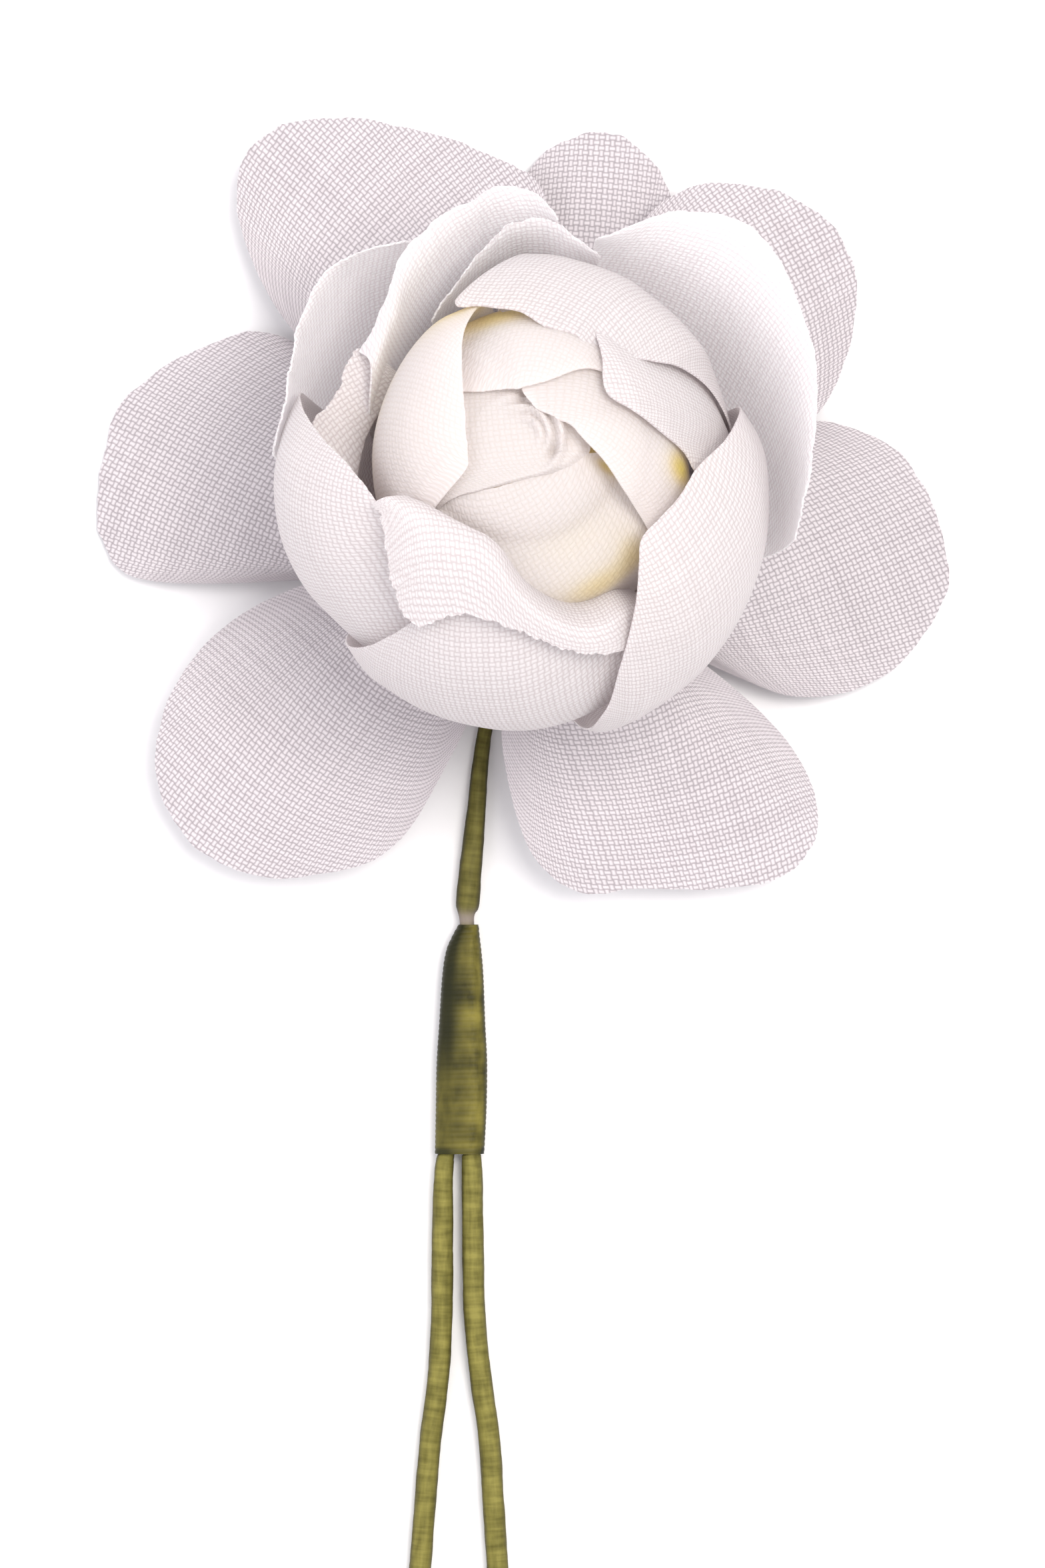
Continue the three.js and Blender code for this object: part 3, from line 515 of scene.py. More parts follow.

# Rosette petals: each lies on a shell, from its root latitude up to a rim of (azimuth, latitude, layers in
# from the shell). hug is how far the rim turns in, skirt how far the foot stands off the bud (how far, and
# from which latitude down to which), over how the petal passes to the bud's shell (layers, and from which
# latitude up to which), slant how many degrees its last side leans back, jag how ragged its cut is in mm,
# and the two lists of bells, of painted warm shade in the gaps and of dents, give azimuth, latitude, their
# spreads, and how strong the painted shade or how deep the dent is
ROSETTE_PETALS = {
    "wrap_right": dict(
        shell=WRAP, root=-70, heading=20, hug=0.5,
        rim=[
            (-76, -30, 0.15), (-72, 0, 0.15), (-68, 13, 0.15), (-64, 25, 0.15), (-59, 33, 0.15),
            (-54, 39, 0.15), (-48, 45, 0.15), (-42, 50, 0.15), (-33, 54, 0.15), (-22, 52, 0.15),
            (-10, 48, 0.15), (1, 43, 0.15), (10, 32, 0.15), (18, 19, 0.15), (24, 2, 0.15), (29, -25, 0.15),
        ],
    ),
    "wrap_top": dict(
        shell=WRAP, root=-66, heading=5, hug=0.7, slant=36,
        rim=[
            (12, -10, 1), (22, 6, 1), (30, 17, 0.95), (36, 29, 0.85), (41, 41, 0.65), (53, 55, 0.4),
            (62, 57, 0.2), (68, 54, 0), (81, 54, -0.05), (90, 50, -0.1), (99, 47, -0.1), (107, 44, -0.1),
            (113, 42, -0.1), (117, 38, -0.1),
        ],
    ),
    "wrap_bottom": dict(
        shell=WRAP, root=-66, heading=-12, hug=0.3, jag=0.16,
        rim=[
            (213, -25, 1.05), (219, -6, 1.05), (226, 14, 1.05), (231, 28, 1.05), (236, 39, 1.1),
            (244, 48, 1.1), (256, 52, 1.15), (271, 49, 1.2), (284, 42, 1.5), (295, 34, 1.9), (304, 26, 2),
            (314, 10, 2), (322, -10, 2),
        ],
    ),
    "wrap_left": dict(
        shell=WRAP, root=-62, heading=35, hug=0.3, jag=0.1,
        rim=[
            (150, -25, -0.3), (153, 0, -0.3), (158, 15, -0.25), (167, 31, -0.1), (178, 44, 0.05),
            (191, 50, 0.4), (202, 50, 1), (212, 45, 1.7), (224, 37, 2.2), (233, 28, 2.25), (244, -10, 2.3),
        ],
    ),
    "left_point": dict(
        shell=WRAP, root=-38, heading=-25, jag=0.1, skirt=(-4, 18, 9),
        rim=[
            (130, -14, 0.9), (132, 2, 0.9), (135, 12, 0.9), (138, 16, 0.9), (144, 16, 0.9), (152, 15, 0.9),
            (160, 16, 0.9), (170, 18, 0.95), (182, 19, 1.1), (194, 15, 1.5), (204, 0, 2),
        ],
    ),
    "wrap_upper_right": dict(
        shell=WRAP, root=-62, heading=15, jag=0.08, over=(-0.15, 5, 45),
        rim=[
            (-16, -10, 1.1), (-8, 12, 1.1), (-3, 24, 1.6), (3, 29, 1.8), (7, 38, 2), (14, 51, 2), (23, 60, 2),
            (34, 59, 1.9), (42, 53, 1.8), (50, 45, 1.7), (58, 36, 1.7), (68, 20, 1.6), (78, -5, 1.5),
        ],
    ),
    "bud_left": dict(
        shell=BUD, root=-42, heading=0, skirt=(0.4, 38, 4),
        rim=[
            (99, -5, -0.4), (103, 12, -0.4), (107, 23, -0.4), (114, 38, -0.4), (123, 53, -0.4),
            (136, 65, -0.1), (158, 73, 0.3), (185, 75, 0.45), (204, 73, 0.6), (214, 67, 0.8), (218, 40, 0.9),
            (219, -5, 0.9),
        ],
        painted_warm_shade=[(114, 14, 14, 16, 0.7), (150, 2, 30, 10, 0.5)],
    ),
    "bud_right": dict(
        shell=BUD, root=-42, heading=40, skirt=(1.4, 38, 4),
        rim=[
            (-46, -10, 0.1), (-38, 5, 0.1), (-35, 16, 0.1), (-32, 30, 0.1), (-27, 50, 0.1), (-19, 63, 0.15),
            (-8, 73, 0.25), (12, 79, 0.45), (26, 82, 0.65), (60, 84, 0.8), (84, 81, 0.85), (92, 75, 0.85),
            (96, 50, 0.85), (98, 20, 0.85), (100, -5, 0.85),
        ],
        painted_warm_shade=[(-6, 15, 7, 9, 1)], dents=[(4, 8, 9, 16, 0.2)],
    ),
    "bud_top": dict(
        shell=BUD, root=-40, heading=5, skirt=(0.8, 38, 4),
        rim=[
            (22, 0, 0.15), (27, 36, 0.2), (36, 48, 0.25), (46, 57, 0.3), (54, 67, 0.3), (66, 75, 0.35),
            (92, 79, 0.45), (112, 77, 0.75), (126, 74, 0.95), (140, 66, 1.05), (150, 45, 1.05),
            (154, 0, 1.05),
        ],
        painted_warm_shade=[(100, 22, 20, 14, 0.8)],
    ),
    "bud_bottom": dict(
        shell=BUD, root=-40, heading=-30, jag=0.08, skirt=(2.6, 42, 8),
        rim=[
            (196, 0, 1.8), (205, 36, 1.8), (216, 54, 1.8), (229, 62, 1.8), (243, 70, 1.8), (266, 76, 1.8),
            (296, 78, 1.8), (326, 73, 1.8), (344, 68, 1.8), (354, 46, 1.8), (360, 0, 1.8),
        ],
        painted_warm_shade=[(300, 34, 28, 12, 0.2), (300, 14, 18, 7, 0.6), (318, 17, 8, 9, 0.4), (344, 48, 6, 11, 0.8)],
        dents=[(345, 50, 6, 8, 0.35)],
    ),
    "heart_right": dict(
        shell=BUD, root=-35, heading=15,
        rim=[
            (-68, 0, 3.15), (-56, 48, 3.15), (-30, 72, 3.15), (10, 80, 3.15), (45, 80, 3.15), (66, 68, 3.15),
            (76, 46, 3.15), (82, 0, 3.15),
        ],
        painted_warm_shade=[(10, 50, 90, 40, 0.8)],
    ),
    "heart_roll": dict(
        shell=BUD, root=-30, heading=0,
        rim=[
            (100, 40, 4.2), (112, 74, 4.2), (150, 84, 4.2), (230, 86, 4.2), (310, 86, 4.2), (390, 84, 4.2),
            (436, 76, 4.2), (448, 40, 4.2),
        ],
        painted_warm_shade=[(270, 50, 300, 60, 0.8)],
    ),
}


def bells(azimuth, latitude, places):
    """A sum of bells round places: azimuth, latitude, their spreads, and the height."""
    heights = [
        high * np.exp(-(((azimuth - a) / wide) ** 2) - ((latitude - b) / tall) ** 2)
        for a, b, wide, tall, high in places
    ]
    return sum(heights, np.zeros_like(azimuth))


CUT_WAVES, CUT_DEPTHS = (11, 47), (0.6, 0.4)  # how a rosette petal's cut strays, in shares of its jag
SLANT_TOP, SLANT_FOOT = 49, 9  # the latitudes between which a side leans back
HUG_REACH = 30  # degrees below the rim over which it turns in
WAVER = 0.06  # how far its rim wavers in and out


def rosette_petal(
    shell, root, rim, seed, hug=0, jag=0.05, skirt=(0, 1, 0), over=None, slant=0, painted_warm_shade=(), dents=(),
    rows=60, columns=110,
):
    """Grid of a petal on a shell: azimuths run along its rim, latitudes from root to rim. The inset is the
    rim's, in layers, more by hug near the rim and in the dents, less by skirt at the foot. slant turns its
    last side back below SLANT_TOP. Returns the grid and how much painted warm shade each point has, from 0 to
    1."""
    u, v = grid(rows, columns)
    azimuth, top, depth = np.moveaxis(spline(rim, v), -1, 0)
    top = top + math.degrees(jag / shell["radius"]) * frayed(v, seed, CUT_WAVES, CUT_DEPTHS)
    latitude = mix(root, top, u)
    azimuth = azimuth - slant * v**4 * ease((SLANT_TOP - latitude) / (SLANT_TOP - SLANT_FOOT))
    inset = depth * shell["layer"] + hug * ease((latitude - top + HUG_REACH) / HUG_REACH)
    stand, high, low = skirt
    inset = inset - stand * ease((high - latitude) / (high - low))
    inset = inset + WAVER * ripple(v, seed + 2, 3) * u + bells(azimuth, latitude, dents)
    points = on_shell(shell, azimuth, latitude, inset)
    if over:
        layers, low, high = over
        inner = on_shell(BUD, azimuth, latitude, layers * BUD["layer"])
        points = mix(points, inner, ease((latitude - low) / (high - low))[..., None])
    return leaned(points), np.clip(bells(azimuth, latitude, painted_warm_shade), 0, 1)


for seed, (name, shape) in enumerate(ROSETTE_PETALS.items()):
    weave = shape.pop("heading")
    in_bud = name.startswith(("bud", "heart"))
    cloth, slot = (HEART_CLOTH, "heart_cloth") if in_bud else (ROSETTE_CLOTH, "rosette_cloth")
    middle, deep = rosette_petal(**shape, seed=200 + 10 * seed)
    petal(f"cloth_{name}_petal", middle, cloth, weave, deep)

# The heart's lobe: a petal that starts under the bud's left and lies over its top. root is the (azimuth,
# latitude) of its root's two ends, edge a spline of places seen down the bud's axis, and folds are soft
# rings: centre, radius, half-width, height, and the bearing and spread over which each is at its full. A
# ring of radius 0 is a pit, and one whose spread is ALL_ROUND is the same all the way round
ALL_ROUND = 999
LOBE = dict(
    inset=1.6, root=[(224, 2), (140, 2)],
    edge=[
        (-5.7, -3.9), (-4.3, -3.5), (-2.8, -3.3), (-1.4, -3), (0.3, -2.6), (2, -2.2), (3.2, -1.7),
        (4.1, -0.7), (3.7, 0.8), (2, 2.9), (0.1, 4.1), (-1.8, 4.5), (-3.6, 4.3), (-5.2, 3.6),
    ],
    folds=[
        (-0.3, -0.2, 2.7, 0.24, 0.8, 30, 75), (-0.3, -0.1, 1.95, 0.2, 0.6, 40, 65),
        (-0.1, -0.1, 1.2, 0.2, 0.5, 40, 65), (0.1, 2.5, 0, 0.5, -0.9, 0, ALL_ROUND),
        (1.9, -0.9, 0, 0.5, -0.7, 0, ALL_ROUND),
    ],
)
TUCK, TUCK_FROM = 0.35, 0.93  # how far its edge turns down, and from which share of its length


def heart_lobe(inset, root, edge, folds, rows=90, columns=120):
    """Grid of the lobe: straight lines seen from above, from its root's arc to its edge, laid on the bud's
    shell, whose height is rise + H (1 - (r / R)^(2 / square))^(square / 2). A fold adds
    high exp(-((distance - ring) / wide)^2 - (angle from its bearing / spread)^2). Returns the grid and how
    much painted warm shade each point has, which fades from the root to a quarter of the way."""
    u, v = grid(rows, columns)
    azimuth, latitude = np.moveaxis(mix(*np.array(root, float), v[..., None]), -1, 0)
    centre = np.array([0, BUD["ahead"]])
    start = on_shell(BUD, azimuth, latitude, inset)[..., :2] - centre
    end = spline(edge, v)
    plan = mix(start, end, (u**0.8)[..., None])  # rows lie closer together towards the edge
    radius, height = BUD["radius"] - inset, BUD["height"] - BUD["sink"] * inset
    share = np.minimum(np.linalg.norm(plan, axis=-1) / radius, 0.999)
    up = BUD["rise"] + height * (1 - share ** (2 / BUD["square"])) ** (BUD["square"] / 2)
    for x, y, ring, wide, high, bearing, spread in folds:
        off = plan - np.array([x, y])
        far = np.linalg.norm(off, axis=-1)
        turn = np.degrees(np.arctan2(off[..., 1], off[..., 0])) - bearing
        aside = (turn + 180) % 360 - 180
        up = up + high * np.exp(-(((far - ring) / wide) ** 2) - (aside / spread) ** 2)
    up = up - TUCK * ease((u - TUCK_FROM) / (1 - TUCK_FROM))
    return leaned(np.concatenate([plan + centre, up[..., None]], -1)), np.clip(0.5 - u * 2, 0, 1)


lobe, lobe_deep = heart_lobe(**LOBE)
petal("cloth_heart_left_petal", lobe, HEART_CLOTH, 10, lobe_deep)

# The turned-out petal: it rises inside the left and bottom wraps, folds over a crest, and its frayed lip
# lies outside on their rims. edge is a spline of (azimuth, crest's and lip's latitudes, lip's layers in),
# inside is how many layers in its two sides start, and roll how wide its fold is, in layers too
TURNED = dict(
    inside=(4.1, 8), roll=1.8, root=-40,
    edge=[
        (196, 57, 52, 0), (203, 61, 53, 0), (213, 64, 50, 0.1), (225, 66, 44, 0.15), (236, 67, 40, 0.15),
        (247, 67, 48, 0.15), (259, 64, 49, 0.2), (271, 56, 46, 0.3), (281, 49, 41, 0.4), (290, 43, 36, 0.5),
        (298, 40, 31, 0.9), (305, 38, 27, 1.6), (311, 33, 22, 2.4), (317, 20, 12, 3),
    ],
)
LIP_WAVES, LIP_DEPTHS = (17, 53), (0.55, 0.55)  # how its lip frays, in degrees
FOOT_DROP = 24  # how many degrees its foot lies below its lip
FOLD_SIDE = 0.75  # how far up from its lip to its crest the fold's two sides start


def turned_petal(inside, roll, root, edge, rows=100, columns=150):
    """Grid of the turned-out petal: at each azimuth a spline of (latitude, inset) through seven stations: its
    root, its foot, level with the lip inside, the fold's inner side, its crest, its outer side, and the
    frayed lip. Past the middle of its width the fold narrows to 0.4 of roll."""
    u, v = np.linspace(0, 1, rows + 1), np.linspace(0, 1, columns + 1)
    azimuth, crest, lip, out = spline(edge, v).T
    deep = mix(*inside, ease(v))
    narrowed = ease((v - 0.5) / 0.3)
    shoulder = mix(lip, crest, FOLD_SIDE)
    inner = mix(shoulder, crest, 0.7 * narrowed)
    end = lip + frayed(v, 71, LIP_WAVES, LIP_DEPTHS)
    latitudes = [np.full_like(v, root), lip - FOOT_DROP, lip, inner, crest, shoulder, end]
    top = out + roll * mix(1, 0.4, narrowed)
    insets = [deep, deep, mix(top, deep, 0.85), mix(top, deep, 0.4), top, out + 0.1, out]
    place = spline(np.stack([np.array(latitudes), np.array(insets)], -1), u)
    return leaned(on_shell(WRAP, azimuth, place[..., 0], place[..., 1] * WRAP["layer"]))


petal(
    "cloth_turned_out_petal", turned_petal(**TURNED), ROSETTE_CLOTH, 28,
)

# Cup petals: they leave the ball's underside, pass its widest part and stand off it. rim is a spline of
# (azimuth, reach) in the bloom's frame, height how high it stands, sides what share of that its two sides
# reach, and ring counts layers outwards
CUP_ROOT = -52  # latitude of their roots
CUP_LAYER = 1.2
CUP_GAP = 0.4  # from the ball to their waist
CUP_BELLY, CUP_FACE = -8, 2.5  # heights of the two middle points that bend them
CUP_WAVES, CUP_DEPTHS = (5, 31), (0.1, 0.05)  # how their cut strays
CUP_CURL = 0.15  # how far their rims lift and sink
CUP_PETALS = {
    "cup_right": dict(
        ring=1, height=3.5, sides=0.5, heading=10,
        rim=[
            (-8, 17), (0, 17.5), (9, 18.2), (21, 19.6), (35, 21.2), (50, 22.5), (61, 21.2), (69, 19),
            (75, 17.6),
        ],
    ),
    "cup_top_left": dict(
        ring=1, height=4, sides=0.9, heading=-15, close=(7.2, 3.4, 8.6, 98, 153), slant=18,
        rim=[
            (137.5, 13.8), (131, 14.2), (124, 15.2), (117, 17), (112, 17.8), (108, 18.4), (104, 18.9),
            (99, 19.3), (94, 20), (88, 19.6), (83, 18),
        ],
    ),
    "cup_left": dict(
        ring=2.1, height=3.5, sides=0.3, heading=20, close=(2.4, 0, 0, 125, 160),
        rim=[
            (168, 15.9), (160, 15.9), (153, 16.4), (148, 16.9), (143, 17.6), (135, 18.6), (128, 19.1),
            (121, 18.9), (112, 18.4),
        ],
    ),
    "cup_top": dict(
        ring=0, height=3.5, sides=0.7, heading=0, close=(3, 0, 0, 90, 118),
        rim=[
            (116, 13), (109, 14), (104, 15), (99, 16.1), (95, 17.1), (92, 17.7), (87, 18), (82, 17.7),
            (78, 17), (73, 16.6),
        ],
    ),
}


def cup_petal(ring, height, sides, rim, seed, close=(0, 0, 0, 0, 1), slant=0, rows=60, columns=90):
    """Grid of a cup petal: at each azimuth a cubic Bezier of (out, up) from the ball's underside to the rim.
    close says how far its waist moves in, how far its face and its belly move up, and from which azimuth to
    which; slant is how many degrees its first side leans back, from just below its rim down to a third of
    its height."""
    u, v = grid(rows, columns)
    azimuth, reach = np.moveaxis(spline(rim, v), -1, 0)
    reach = reach + frayed(v, seed, CUP_WAVES, CUP_DEPTHS)
    start = on_shell(WRAP, 0, CUP_ROOT, -ring * CUP_LAYER)
    end = height * (1 - (1 - sides) * np.abs(2 * v - 1) ** 3) + CUP_CURL * ripple(v, seed + 2, 7)
    closed = np.sin(math.pi / 2 * np.clip((azimuth - close[3]) / (close[4] - close[3]), 0, 1))
    inward, lift, heave = (share * closed for share in close[:3])
    azimuth = azimuth + slant * (1 - v) ** 4 * ease((0.95 - u) / 0.6)
    widest = WRAP["radius"] + CUP_GAP + ring * CUP_LAYER - inward
    controls = [
        (start[0] - inward / 4, start[2]), (widest, CUP_BELLY + heave), (widest, CUP_FACE + lift),
        (reach, end),
    ]
    weights = [(1 - u) ** 3, 3 * u * (1 - u) ** 2, 3 * u**2 * (1 - u), u**3]
    out, up = (sum(w * c[k] for w, c in zip(weights, controls)) for k in (0, 1))
    ahead = np.zeros(u.shape + (3,))
    ahead[..., 1] = WRAP["ahead"] * (1 - u**2)
    return leaned(turned(azimuth, out, up) + ahead)


for seed, (name, shape) in enumerate(CUP_PETALS.items()):
    weave = shape.pop("heading")
    petal(f"cloth_{name}_petal", cup_petal(**shape, seed=400 + 10 * seed), CUP_CLOTH, weave)

# Wires: stations are (x, y, z, covering radius). The covering is thin up in the bloom and under the lashing
THIN = 0.46
LEG = 0.69  # below the lashing
MAIN_WIRE = [
    (*(BLOOM_BACK + 3 * BLOOM_AXIS), THIN), (*BLOOM_BACK, THIN), (0, 14.28, 3.6, THIN),
    (-0.03, 14.08, 2.1, THIN), (-0.25, 12.9, 1.1, THIN), (-0.6, 11.2, 0.8, THIN), (-1.3, 8, 0.75, THIN),
    (-2.5, 3, 0.72, 0.47), (-3.05, -2.4, 0.8, 0.62), (-3.35, -5.4, 0.88, 0.72), (-3.55, -7.7, 0.94, 0.74),
    (-3.6, -8.8, 0.98, THIN), (-3.35, -12, 1.0, THIN), (-3.22, -15.5, 1.0, THIN), (-3.25, -20, 1.0, THIN),
    (-3.4, -23.5, 1.0, THIN), (-3.28, -24.4, 0.99, 0.64), (-3.2, -30, 0.9, LEG), (-3.1, -34.3, 0.84, LEG),
    (-2.7, -38.4, 0.8, LEG), (-2.15, -42.4, 0.76, LEG), (-1.9, -46.3, 0.74, LEG), (-1.6, -51, 0.72, LEG),
    (-1.35, -56.4, 0.72, LEG),
]
SECOND_WIRE = [
    (-4.45, -11.6, 1.0, THIN), (-4.6, -15.5, 1.0, THIN), (-4.65, -20, 1.0, THIN), (-4.85, -23.5, 1.0, THIN),
    (-5.02, -24.4, 0.99, 0.57), (-5.12, -25.8, 0.98, 0.62), (-5.18, -30, 0.9, LEG),
    (-5.22, -34.3, 0.84, LEG), (-5.45, -38.4, 0.8, LEG), (-5.95, -42.4, 0.76, LEG),
    (-6.28, -46.3, 0.74, LEG), (-6.65, -51, 0.72, LEG), (-7.15, -56.4, 0.72, LEG),
]
BORE = 0.3  # radius of the wire's place inside
BORE_DEPTH = 0.5  # how far in from the cut end it is closed
OVERLAP, OVERLAP_PITCH = 0.02, 3.1  # height of the strip's edge, and its pitch along the wire
OVERLAP_STEP = 0.12  # share of a turn over which that edge rises
UNEVEN, UNEVEN_REACH = 0.022, 40  # how far the radius wanders, and over what length nine times
UNEVEN_TWIST = 0.12  # how much of that length the wander differs from side to side

# Painted shade on the coverings: darker brown down both sides, where the round covering turns from the light,
# and over the length next to the bloom. Grey at the neck just above the lashing, where the covering is thin
SIDE_PAINTED_SHADE = 0.85
SHADE_LENGTH, SHADE_FADE = 32, 3
NECK_Y, NECK_SPREAD = -8.75, 0.5


def tube(stations, seed, rings_per_station=24, sides=28):
    """A covering: rings across a spline through the stations, whose radius wanders, with a slow helix of
    overlaps, and whose cut end turns in to the wire's bore. Returns the rings, their faces, turns round the
    wire for a ring's points, and the rings' lengths along it."""
    count = (len(stations) - 1) * rings_per_station + 1
    path = spline(stations, np.linspace(0, 1, count))
    centre, radius = path[:, :3], path[:, 3]
    forward = np.gradient(centre, axis=0)
    forward /= np.linalg.norm(forward, axis=1, keepdims=True)
    right = np.array([1.0, 0, 0]) - forward * forward[:, :1]
    right /= np.linalg.norm(right, axis=1, keepdims=True)
    up = np.cross(forward, right)
    length = arcs(centre, 0)
    turn = np.arange(sides) / sides
    angle = 2 * math.pi * turn
    helix = np.mod(length[:, None] / OVERLAP_PITCH + turn, 1)
    overlap = OVERLAP * ease(helix / OVERLAP_STEP) * (1 - helix)
    wander = UNEVEN * ripple(length[:, None] / UNEVEN_REACH + UNEVEN_TWIST * np.sin(angle), seed, 9)
    radii = radius[:, None] + overlap + wander
    ring = np.cos(angle)[None, :, None] * right[:, None] + np.sin(angle)[None, :, None] * up[:, None]
    skin = centre[:, None] + radii[..., None] * ring
    bore = centre[:, None] + BORE * ring
    # The skin from the bloom to the cut end, its end face, and the bore a little way back
    rings = np.concatenate([bore[:1], skin, bore[-1:], bore[-1:] - forward[-1] * BORE_DEPTH])
    along = np.concatenate([length[:1], length, length[-1:], length[-1:]])
    ids = np.arange(len(rings) * sides).reshape(len(rings), sides)
    beside = np.roll(ids, -1, 1)
    quads = np.stack([ids[:-1], beside[:-1], beside[1:], ids[1:]], -1).reshape(-1, 4)
    return rings, quads, turn, along


def covering(name, stations, replaced, seed, shade=0, thin=0):
    """A wire's green covering, closed at both ends by a fan of its last ring. Its sides are darkened with
    painted shade by
    |cos|^4 of the angle round it, plus painted shade near the bloom, and its neck's grey is a bell, thin high."""
    rings, quads, turn, along = tube(stations, seed)
    shape = rings.shape[:2]
    points = np.concatenate([rings.reshape(-1, 3), rings[0].mean(0)[None], rings[-1].mean(0)[None]])
    sides, last = shape[1], shape[0] * shape[1]
    k = np.arange(sides)
    after = (k + 1) % sides
    caps = [
        np.stack([np.full(sides, last), after, k], -1),
        np.stack([np.full(sides, last + 1), last - sides + k, last - sides + after], -1),
    ]
    faces = quads.tolist() + caps[0].tolist() + caps[1].tolist()
    # Painted shade: darker down both sides and over the length next to the bloom
    shaded = shade * ease((SHADE_LENGTH - along[:, None]) / SHADE_FADE)
    side = np.clip(SIDE_PAINTED_SHADE * np.abs(np.cos(2 * math.pi * turn)) ** 4 + shaded, 0, 1)
    pad = np.zeros(2)
    attributes = {
        "around": np.concatenate([np.broadcast_to(turn, shape).ravel(), pad]),
        "along": np.concatenate([np.broadcast_to(along[:, None], shape).ravel(), pad]),
        "side": np.concatenate([side.ravel(), pad]),
        "bare": thin * np.exp(-(((points[:, 1] - NECK_Y) / NECK_SPREAD) ** 2)),
    }
    obj = piece(name, points, faces, STEM_COVER, attributes)
    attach(obj, "root")
    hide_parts(replaced)


covering("green_main_wire_cover", MAIN_WIRE, "main_wire_cover", 500, shade=0.4, thin=0.75)
covering("green_second_wire_cover", SECOND_WIRE, "second_wire_cover", 510)

# The lashing: thread wound close round both wires. Its stations are (x, y, half-width, half-height)
LASHING = [
    (-3.49, -9.1, 0.66, 0.76), (-3.66, -9.85, 0.9, 0.9), (-3.8, -10.8, 1.15, 0.96), (-3.86, -12.4, 1.34, 1.0),
    (-3.9, -15.5, 1.5, 1.0), (-3.92, -18, 1.64, 1.0), (-3.97, -21, 1.65, 1.0), (-4.07, -23.9, 1.6, 0.98),
]
THREAD = 0.34  # from one turn of the thread to the next
THREAD_RIDGE = 0.03  # how far a turn stands up
THREAD_WALL = 0.27  # thickness of the winding
ROUNDNESS = 2.6  # a section's power: 2 is an ellipse, more is boxier
FLATTENING = 1.04  # over 1 a section is flat above and below


def lashing_rings(lengths, sides, inset, ridge):
    """Sections across the lashing, |x|^ROUNDNESS + |z|^ROUNDNESS = 1 stretched to its half-width and
    half-height, less inset, with a helical ridge of ridge |sin|."""
    x, y, wide, high = np.moveaxis(spline(LASHING, lengths), -1, 0)
    turn = np.arange(sides) / sides
    angle = 2 * math.pi * turn

    def squash(value):
        return np.sign(value) * np.abs(value) ** (2 / ROUNDNESS)

    wound = np.abs(np.sin(math.pi * (y[:, None] / THREAD + turn)))
    cut = inset + ridge * (1 - wound)
    across = (wide[:, None] - cut) * squash(np.cos(angle))
    rise = (high[:, None] - cut) * np.clip(FLATTENING * squash(np.sin(angle)), -1, 1)
    down = np.broadcast_to(y[:, None], across.shape)
    return np.stack([x[:, None] + across, down, high[:, None] + rise], -1), turn, y


def lashing_painted_shade(across, y):
    """How much painted shade the thread has: a broad band down its left side, away from the light, which
    turns paler between y = -16 and -21, and a narrow one down its right, which leave a lighter streak between
    them as a painted highlight. It is also darker in a ring round its lower end, below y = -23.3."""
    left = mix(0.95, 0.4, ease((-y - 16) / 5)) * ease((0.4 - across) / 0.9)
    right = 0.75 * ease((across - 0.7) / 0.28)
    return np.clip(left + right + 0.5 * ease((-y - 23.3) / 0.4), 0, 1)


def lashing(sides=48, outer_rings=420, inner_rings=40):
    """The thread lashing as one closed skin: its wound outside, its end faces, and its hollow inside."""
    outside, turn, y = lashing_rings(np.linspace(0, 1, outer_rings), sides, 0.0, THREAD_RIDGE)
    inside, _, deep = lashing_rings(np.linspace(1, 0, inner_rings), sides, THREAD_WALL, 0.0)
    rings = np.concatenate([outside, inside])
    along = np.concatenate([y, deep])[:, None]
    ids = np.arange(len(rings) * sides).reshape(len(rings), sides)
    after = np.roll(ids, -1, 0)
    quads = np.stack([ids, after, np.roll(after, -1, 1), np.roll(ids, -1, 1)], -1).reshape(-1, 4)
    # side is the painted shade down the thread's sides, which leaves a lighter streak between as a painted
    # highlight
    attributes = {
        "around": np.broadcast_to(turn, ids.shape),
        "along": np.broadcast_to(along, ids.shape),
        "side": lashing_painted_shade(np.cos(2 * math.pi * turn), along),
    }
    obj = piece("thread_lashing", rings.reshape(-1, 3), quads.tolist(), LASHING_THREAD, attributes)
    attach(obj, "root")
    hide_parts("lashing")


lashing()

# The frame's own pieces that are kept. The hub is wrapped in the wires' covering
FINISHES = {
    "main_wire": WIRE_STEEL, "second_wire": WIRE_STEEL, "bud_core": CORE_FOAM, "petal_hub": STEM_COVER,
}
for node, finish in FINISHES.items():
    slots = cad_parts[node].data.materials
    slots.clear()
    slots.append(finish)

# Floor, light and camera


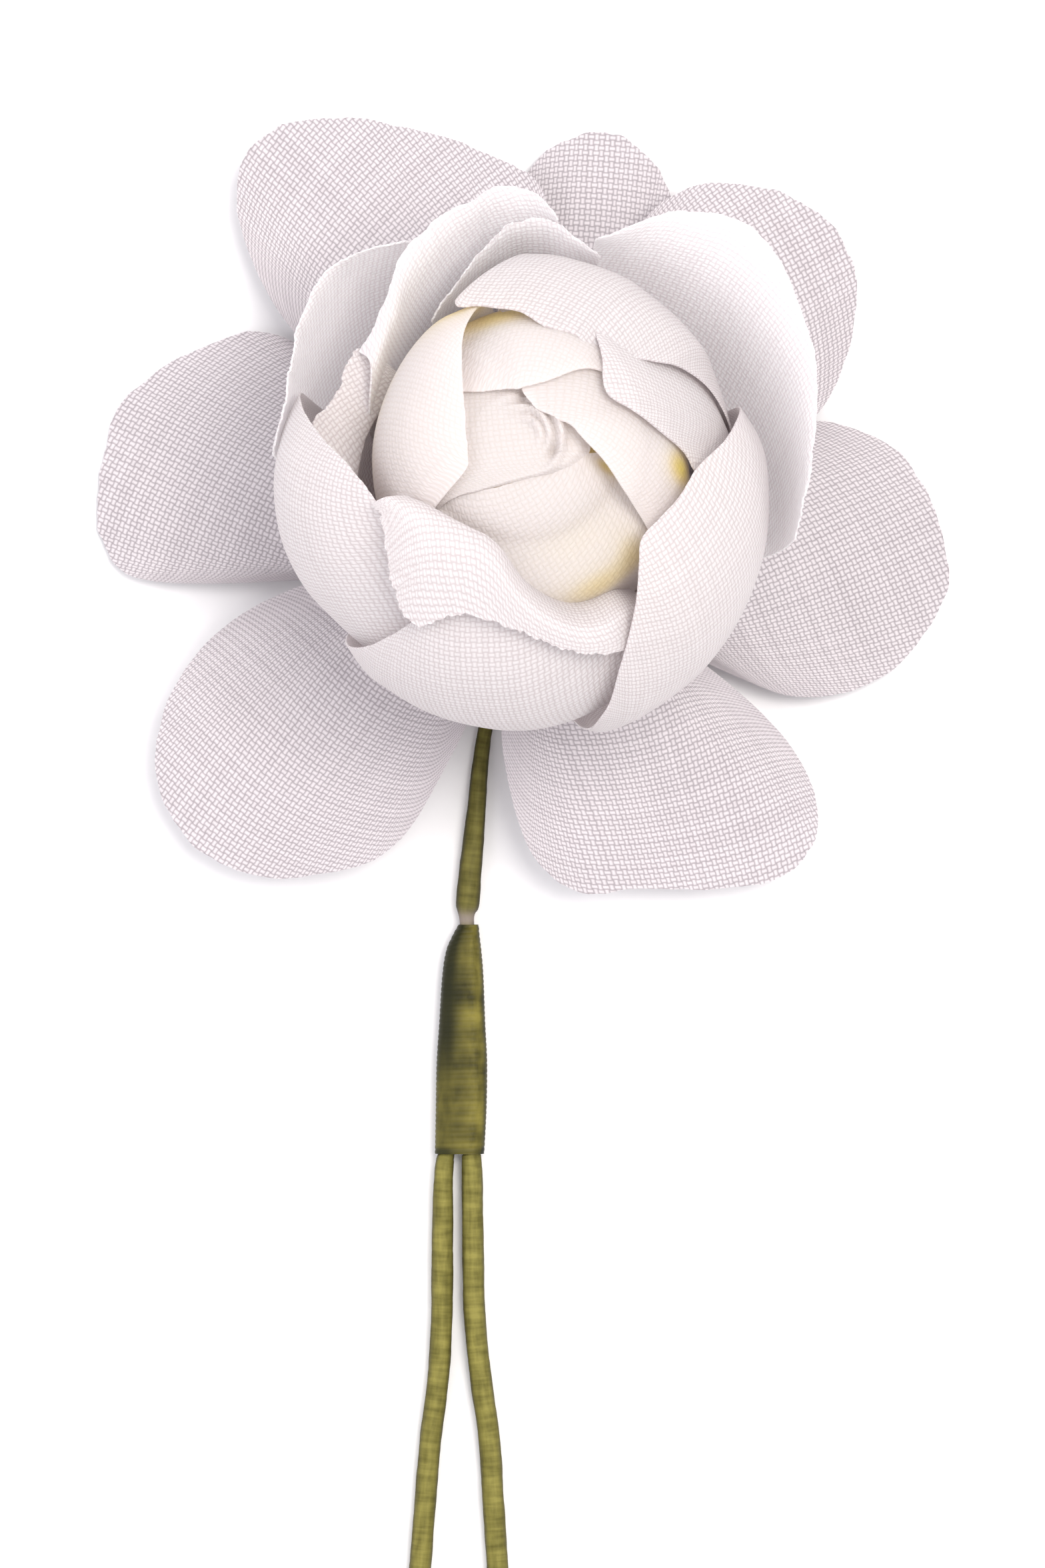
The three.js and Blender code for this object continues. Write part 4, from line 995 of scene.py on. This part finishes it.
def floor(reach=1.5):
    """A white sheet of card under the piece, with a faint grain of fibres about 1 mm long."""
    made, tree = material("white_card")
    place = add(tree, "ShaderNodeTexCoord").outputs["Object"]
    fibre = add(tree, "ShaderNodeTexNoise", {"Vector": place, "Scale": 0.9 / MM})
    tone = add(
        tree, "ShaderNodeMix", {"Factor": fibre.outputs[0], "A": linear("#fbfbfb"), "B": linear("#ffffff")},
        data_type="RGBA",
    )
    surface = add(tree, "ShaderNodeBsdfPrincipled", {"Base Color": tone.outputs["Result"], "Roughness": 0.9})
    add(tree, "ShaderNodeOutputMaterial", {"Surface": surface.outputs[0]})
    corners = [(-reach, -reach, 0), (reach, -reach, 0), (reach, reach, 0), (-reach, reach, 0)]
    mesh = bpy.data.meshes.new("floor")
    mesh.from_pydata(corners, [], [(0, 1, 2, 3)])
    mesh.materials.append(made)
    obj = link("floor", mesh)


def soft_light(name, place, aim, size, power, colour):
    """A square area light of that size at place, turned to aim."""
    lamp = bpy.data.lights.new(name, "AREA")
    lamp.shape, lamp.size, lamp.energy, lamp.color = "SQUARE", size, power, linear(colour)[:3]
    obj = link(name, lamp)
    toward = Vector(aim) - Vector(place)
    obj.location = place
    obj.rotation_euler = toward.to_track_quat("-Z", "Y").to_euler()


# Lit evenly, as the photo is: a warm key nearly overhead, a cool fill from the left, and a bright pale room.
# Places and sizes are in metres, powers in watts
floor()
soft_light("key", place=(0.3, 0.2, 1.0), aim=(0, 0.02, 0.01), size=0.5, power=7.5, colour="#fffbf7")
soft_light("fill", place=(-0.8, 0.1, 0.8), aim=(0, 0, 0.01), size=0.8, power=3.2, colour="#faf8ff")

world = bpy.data.worlds.new("studio")
bpy.context.scene.world = world
world.use_nodes = True
background = world.node_tree.nodes["Background"].inputs
background["Color"].default_value = linear("#fdfbff")
background["Strength"].default_value = 0.85

# The photo looks straight down. Its sensor spans the longer side of the picture, its height
VIEW_DISTANCE = 0.5
VIEW_HEIGHT = 0.1016  # how much of the floor the picture's height takes in
camera = bpy.data.cameras.new("camera")
camera.sensor_width = 36
camera.lens = camera.sensor_width * VIEW_DISTANCE / VIEW_HEIGHT
camera_object = link("camera", camera)
camera_object.location = (SHIFT[0] * MM, SHIFT[1] * MM, VIEW_DISTANCE)
bpy.context.scene.camera = camera_object
bpy.context.scene.view_settings.view_transform = "Standard"
